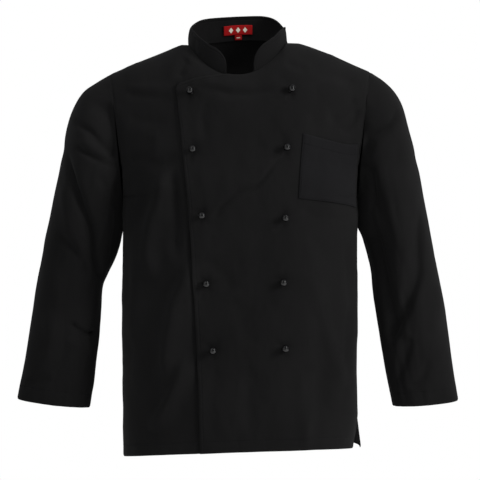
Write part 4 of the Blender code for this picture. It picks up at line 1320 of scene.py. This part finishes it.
def ball_material():
    made, tree, shader, place = new_material("black_ball")
    marks = placed(tree, MARKS, Place=place)
    looks = {
        "Base Color": (0.0035, 0.0035, 0.0038, 1.0),
        "Roughness": marks["Roughness"],
        "Normal": bump(tree, marks["Height"], 0.15, 0.00002),
        "Specular IOR Level": 0.6,
        "Coat Weight": 0.5,
        "Coat Roughness": 0.03,
    }
    feed(tree, shader, looks)
    return made


def label_material(name, deep, light):
    """Woven satin, with fine weft lines."""
    made, tree, shader, place = new_material(name)
    twill = placed(tree, TWILL, Cloth=place, Rib=0.0006, Slub=0.2)
    dye = placed(tree, DYE, Place=place, Cloth=place, Deep=deep, Faded=light, Streaks=0.1)
    looks = {
        "Base Color": dye["Color"],
        "Roughness": 0.60,
        "Normal": bump(tree, twill["Height"], 0.5, 0.00008),
        "Specular IOR Level": 0.20,
    }
    feed(tree, shader, looks)
    return made


DEEP, FADED, WORN = (0.0088, 0.0087, 0.0089, 1), (0.0152, 0.0150, 0.0153, 1), (0.026, 0.026, 0.026, 1)
BLACK_CLOTH = cloth_material("black_twill", DEEP, FADED, WORN)
SLEEVE_CLOTH = cloth_material("sleeve_twill", DEEP, FADED, WORN, hem_inset=CUFF_INSET)
COLLAR_CLOTH = cloth_material(
    "collar_twill",
    deep=(0.0076, 0.0075, 0.0077, 1),
    faded=(0.0130, 0.0128, 0.0131, 1),
    worn=(0.024, 0.024, 0.024, 1),
)
POCKET_CLOTH = cloth_material(
    "pocket_twill",
    deep=(0.0094, 0.0093, 0.0101, 1),
    faded=(0.0158, 0.0157, 0.0168, 1),
    worn=(0.030, 0.030, 0.032, 1),
    hem_inset=POCKET_HEM,
    edge_inset=POCKET_INSET,
)
THREAD = thread_material()
BALL = ball_material()
RED = label_material("red_label", (0.24, 0.005, 0.006, 1), (0.38, 0.012, 0.013, 1))
CREAM = label_material("cream_yarn", (0.62, 0.56, 0.46, 1), (0.80, 0.75, 0.66, 1))


# ---------------------------------------------------------------- pieces

left_cloth = make_front_cloth(LEFT)
right_cloth = make_front_cloth(RIGHT)
back_cloth = make_back_cloth()
sleeve_cloths = {side: make_sleeve_cloth(side) for side in (RIGHT, LEFT)}
collar_base = neckline(right_cloth, back_cloth, left_cloth)
collar_cloth = make_collar_cloth(collar_base)
pocket_cloth = make_pocket_cloth()

CLOTHS = (
    ("left_front_cloth", left_cloth, "left_front", "black_cloth", BLACK_CLOTH, CLOTH_WALL),
    ("right_front_cloth", right_cloth, "right_front", "black_cloth", BLACK_CLOTH, CLOTH_WALL),
    ("back_cloth", back_cloth, "back", "black_cloth", BLACK_CLOTH, CLOTH_WALL),
    ("right_sleeve_cloth", sleeve_cloths[RIGHT], "right_sleeve", "black_cloth", SLEEVE_CLOTH, CLOTH_WALL),
    ("left_sleeve_cloth", sleeve_cloths[LEFT], "left_sleeve", "black_cloth", SLEEVE_CLOTH, CLOTH_WALL),
    ("collar_cloth", collar_cloth, "collar", "black_cloth", COLLAR_CLOTH, COLLAR_WALL),
    ("pocket_cloth", pocket_cloth, "chest_pocket", "pocket_cloth", POCKET_CLOTH, CLOTH_WALL),
)
for name, cloth, solid, slot, material, wall in CLOTHS:
    piece = cloth_object(name, cloth, wall, material)
    declare(piece, solid, slot, cloth.area())


def make_stitching():
    threads = Threads()
    for cloth in (left_cloth, right_cloth):
        threads.sew(line_down(cloth, cloth.from_free, EDGE_INSET))
        threads.sew(line_across(cloth, cloth.from_hem, HEM_INSET))
    threads.sew(line_across(back_cloth, back_cloth.from_hem, HEM_INSET))
    for cloth in sleeve_cloths.values():
        threads.sew(line_across(cloth, cloth.from_hem, CUFF_INSET))
    threads.sew(line_across(collar_cloth, collar_cloth.from_last_row, EDGE_INSET))
    threads.sew(line_down(pocket_cloth, pocket_cloth.from_first_column, POCKET_INSET))
    threads.sew(line_down(pocket_cloth, pocket_cloth.from_last_column, POCKET_INSET))
    threads.sew(line_across(pocket_cloth, pocket_cloth.from_first_row, POCKET_INSET))
    threads.sew(line_across(pocket_cloth, pocket_cloth.from_last_row, POCKET_HEM))
    declare(new_object("stitching", threads.points, threads.faces, THREAD), None, "black_cloth")


make_stitching()


def stud_outline():
    """Radius and height of a stud from the cloth outwards: foot, waist and ball."""
    outline = [(0.0, -0.0022), (0.0042, -0.0022), (0.0045, -0.0018), (0.0045, -0.0006), (0.0040, 0.0)]
    outline += [(0.0026, 0.0003), (0.0024, 0.0012), (0.0030, 0.0019)]
    centre = BALL_RISE + math.sqrt(BALL_RADIUS**2 - (BALL_RADIUS / 2) ** 2)
    for angle in np.linspace(-math.radians(62), math.pi / 2, 22)[:-1]:
        outline.append((BALL_RADIUS * math.cos(angle), centre + BALL_RADIUS * math.sin(angle)))
    return outline + [(0.0, centre + BALL_RADIUS)]


def make_stud(name, x, z):
    share, level = place_on_front(x, z)
    here = torso_point(FRONT, share, level)
    near = 0.02
    across = torso_point(FRONT, share + near, level) - torso_point(FRONT, share - near, level)
    up = torso_point(FRONT, share, level + near) - torso_point(FRONT, share, level - near)
    out = np.cross(across, up)
    out /= np.linalg.norm(out)
    outline = stud_outline()
    turns = [2 * math.pi * k / STUD_SIDES for k in range(STUD_SIDES)]
    circle = [(math.cos(turn), math.sin(turn)) for turn in turns]
    points = [(radius * x, radius * y, rise) for radius, rise in outline for x, y in circle]
    faces = [face for j in range(len(outline) - 1) for face in band(j * STUD_SIDES, STUD_SIDES)]
    made = new_object(name + "_ball", points, faces, BALL)
    made.modifiers.new("weld", "WELD").merge_threshold = WELD_DISTANCE
    made.location = here + out * (overlap_lift(here[0], here[2]) + STUD_GAP)
    made.rotation_euler = Vector(out).to_track_quat("Z", "Y").to_euler()
    declare(made, name, "black_ball")
    return made


STUD_PIECES = bpy.data.collections.new("studs")
for name, x, z in STUDS:
    STUD_PIECES.objects.link(make_stud(name, x, z))


# ---------------------------------------------------------------- label


LABEL_X, LABEL_UP = (-0.0300, 0.0230), (0.0105, 0.0280)
TAB_X, TAB_UP = (-0.0095, 0.0035), (0.0008, 0.0104)
LABEL_STEP = 0.0015
LABEL_GAP = 0.0004  # from the collar's inside
LABEL_SAG = 0.0005  # of the label's lower edge
LOZENGE_MIDDLES = (-0.0165, -0.0035, 0.0095)
LOZENGE_UP = 0.0192
LOZENGE_HALF_WIDTH, LOZENGE_HALF_HEIGHT = 0.0042, 0.0052
BAR_X, BAR_UP = (-0.0062, 0.0002), (0.0044, 0.0060)
MOTIF_FOOT, MOTIF_TOP = LABEL_WALL + 0.0004, LABEL_WALL + 0.00062


def on_collar(x, up, lift):
    """The place at x and up the collar's height that lies a lift off the inside of the collar's back."""
    behind = collar_base[collar_base[:, 1] > NECK_CENTRE[1]]
    behind = behind[np.argsort(behind[:, 0])]
    foot = read_line(x, behind[:, 0], behind)
    slope = read_line(x + 0.002, behind[:, 0], behind) - foot
    inward = np.cross(slope / np.linalg.norm(slope), COLLAR_LEAN)
    inward *= -np.sign(inward[1])
    return foot + COLLAR_LEAN * up + inward * (COLLAR_WALL + LABEL_GAP + lift)


def collar_patch(name, across, height, lift, solid):
    """A red piece that follows the inside of the collar's back, and bows a little at its lower edge."""
    width, length = across[1] - across[0], height[1] - height[0]
    columns, rows = round(width / LABEL_STEP), round(length / LABEL_STEP)
    points, faces = [], []
    for j, up in enumerate(np.linspace(*height, rows + 1)):
        for i, x in enumerate(np.linspace(*across, columns + 1)):
            sag = LABEL_SAG * math.sin(math.pi * i / columns) * (1 - j / rows)
            points.append(on_collar(x, up, lift + LABEL_WALL + sag))
    for j in range(rows):
        for i in range(columns):
            a = j * (columns + 1) + i
            faces.append((a, a + columns + 1, a + columns + 2, a + 1))
    made = new_object(name, points, faces, RED)
    if made.data.polygons[0].normal.y > 0:
        made.data.flip_normals()
    add_wall(made, LABEL_WALL)
    declare(made, solid, "red_label")


collar_patch("neck_label_cloth", LABEL_X, LABEL_UP, 0.0002, "neck_label")
collar_patch("size_tab_cloth", TAB_X, TAB_UP, 0.0001, "size_tab")


def motif_point(x, up, lift):
    """A place on the motif, which follows the label's bow."""
    share = (x - LABEL_X[0]) / (LABEL_X[1] - LABEL_X[0])
    down = 1 - (up - LABEL_UP[0]) / (LABEL_UP[1] - LABEL_UP[0])
    sag = LABEL_SAG * math.sin(math.pi * share) * down if up > LABEL_UP[0] else 0.0
    return on_collar(x, up, lift + sag)


def make_motif():
    """Raised cream lozenges on the label, and a bar on the tab. All have four corners."""
    wide, tall, middle_up = LOZENGE_HALF_WIDTH, LOZENGE_HALF_HEIGHT, LOZENGE_UP
    outlines = [
        [(x + wide, middle_up), (x, middle_up + tall), (x - wide, middle_up), (x, middle_up - tall)]
        for x in LOZENGE_MIDDLES
    ]
    (left, right), (low, high) = BAR_X, BAR_UP
    outlines.append([(left, low), (right, low), (right, high), (left, high)])
    points, faces = [], []
    for outline in outlines:
        first = len(points)
        points += [motif_point(x, up, lift) for lift in (MOTIF_FOOT, MOTIF_TOP) for x, up in outline]
        faces += [tuple(range(first + 4, first + 8)), tuple(reversed(range(first, first + 4)))]
        faces += band(first, 4)
    made = new_object("label_motif", points, faces, CREAM)
    made.data.shade_flat()
    declare(made, None, "red_label")


make_motif()

# ---------------------------------------------------------------- stage, light and camera

MIDDLE = Vector((0.0, 0.0, -0.349))  # of the jacket, where the camera and the lights aim
EVEN_LIGHT = 0.14
CAMERA_PLACE = (0.0, -3.5, -0.22)
CAMERA_LENS = 145.9


def make_floor():
    size, height = 3.0, -1.45
    corners = [(-size, -size, height), (size, -size, height), (size, size, height), (-size, size, height)]
    made, tree, shader, place = new_material("pale_floor")
    mottled = mixed(tree, noise(tree, place, 3.0, 3.0), (0.78, 0.78, 0.78, 1), (0.84, 0.84, 0.84, 1))
    feed(tree, shader, {"Base Color": mottled, "Roughness": 0.7})
    new_object("floor", corners, [(0, 1, 2, 3)], made)


def aimed(name, data, place):
    """A light or camera at a place, aimed at the jacket."""
    made = bpy.data.objects.new(name, data)
    bpy.context.scene.collection.objects.link(made)
    made.location = place
    made.rotation_euler = (Vector(place) - MIDDLE).to_track_quat("Z", "Y").to_euler()
    return made


def softbox(name, place, size, power, colour=(1, 1, 1), only=None):
    """A rectangular light aimed at the jacket. Only one that lights chosen pieces is reflected."""
    light = bpy.data.lights.new(name, "AREA")
    light.shape = "RECTANGLE"
    light.size, light.size_y = size
    light.energy = power
    light.color = colour
    made = aimed(name, light, place)
    made.visible_glossy = only is not None
    if only:
        made.light_linking.receiver_collection = only


def make_world():
    """White behind the jacket, and a dimmer even light from all round."""
    world = bpy.data.worlds.new("studio")
    bpy.context.scene.world = world
    world.use_nodes = True
    tree = world.node_tree
    tree.nodes.clear()
    seen = node(tree, "Background", {"Color": (1, 1, 1, 1), "Strength": 1.0})
    felt = node(tree, "Background", {"Color": (0.98, 0.99, 1.0, 1), "Strength": EVEN_LIGHT})
    ray = node(tree, "LightPath")
    mix = node(tree, "MixShader", {0: ray.outputs["Is Camera Ray"], 1: felt.outputs[0], 2: seen.outputs[0]})
    node(tree, "OutputWorld", {"Surface": mix.outputs[0]})


def make_camera():
    data = bpy.data.cameras.new("camera")
    data.sensor_width = 36.0
    data.lens = CAMERA_LENS
    bpy.context.scene.camera = aimed("camera", data, CAMERA_PLACE)


make_floor()
make_world()
make_camera()
softbox("key", (2.35, -1.35, 0.75), (0.8, 1.4), 63, (1.0, 0.99, 0.985))
softbox("front_fill", (-0.2, -2.9, 2.0), (1.6, 0.8), 21)
softbox("left_strip", (-1.9, -0.7, 0.15), (0.35, 1.6), 3, (0.94, 0.965, 1.0))
softbox("stud_strip_right", (-1.10, -1.25, 0.10), (0.14, 2.6), 2.2, only=STUD_PIECES)
softbox("stud_strip_left", (1.10, -1.25, 0.10), (0.10, 2.6), 6.5, only=STUD_PIECES)
softbox("overhead", (-0.3, -0.7, 1.6), (1.8, 0.8), 11)
softbox("behind_left", (-1.9, 1.2, 0.5), (1.0, 1.8), 9, (0.94, 0.965, 1.0))
softbox("behind_right", (1.9, 1.2, 0.5), (1.0, 1.8), 6)
bpy.context.scene.view_settings.view_transform = "Standard"
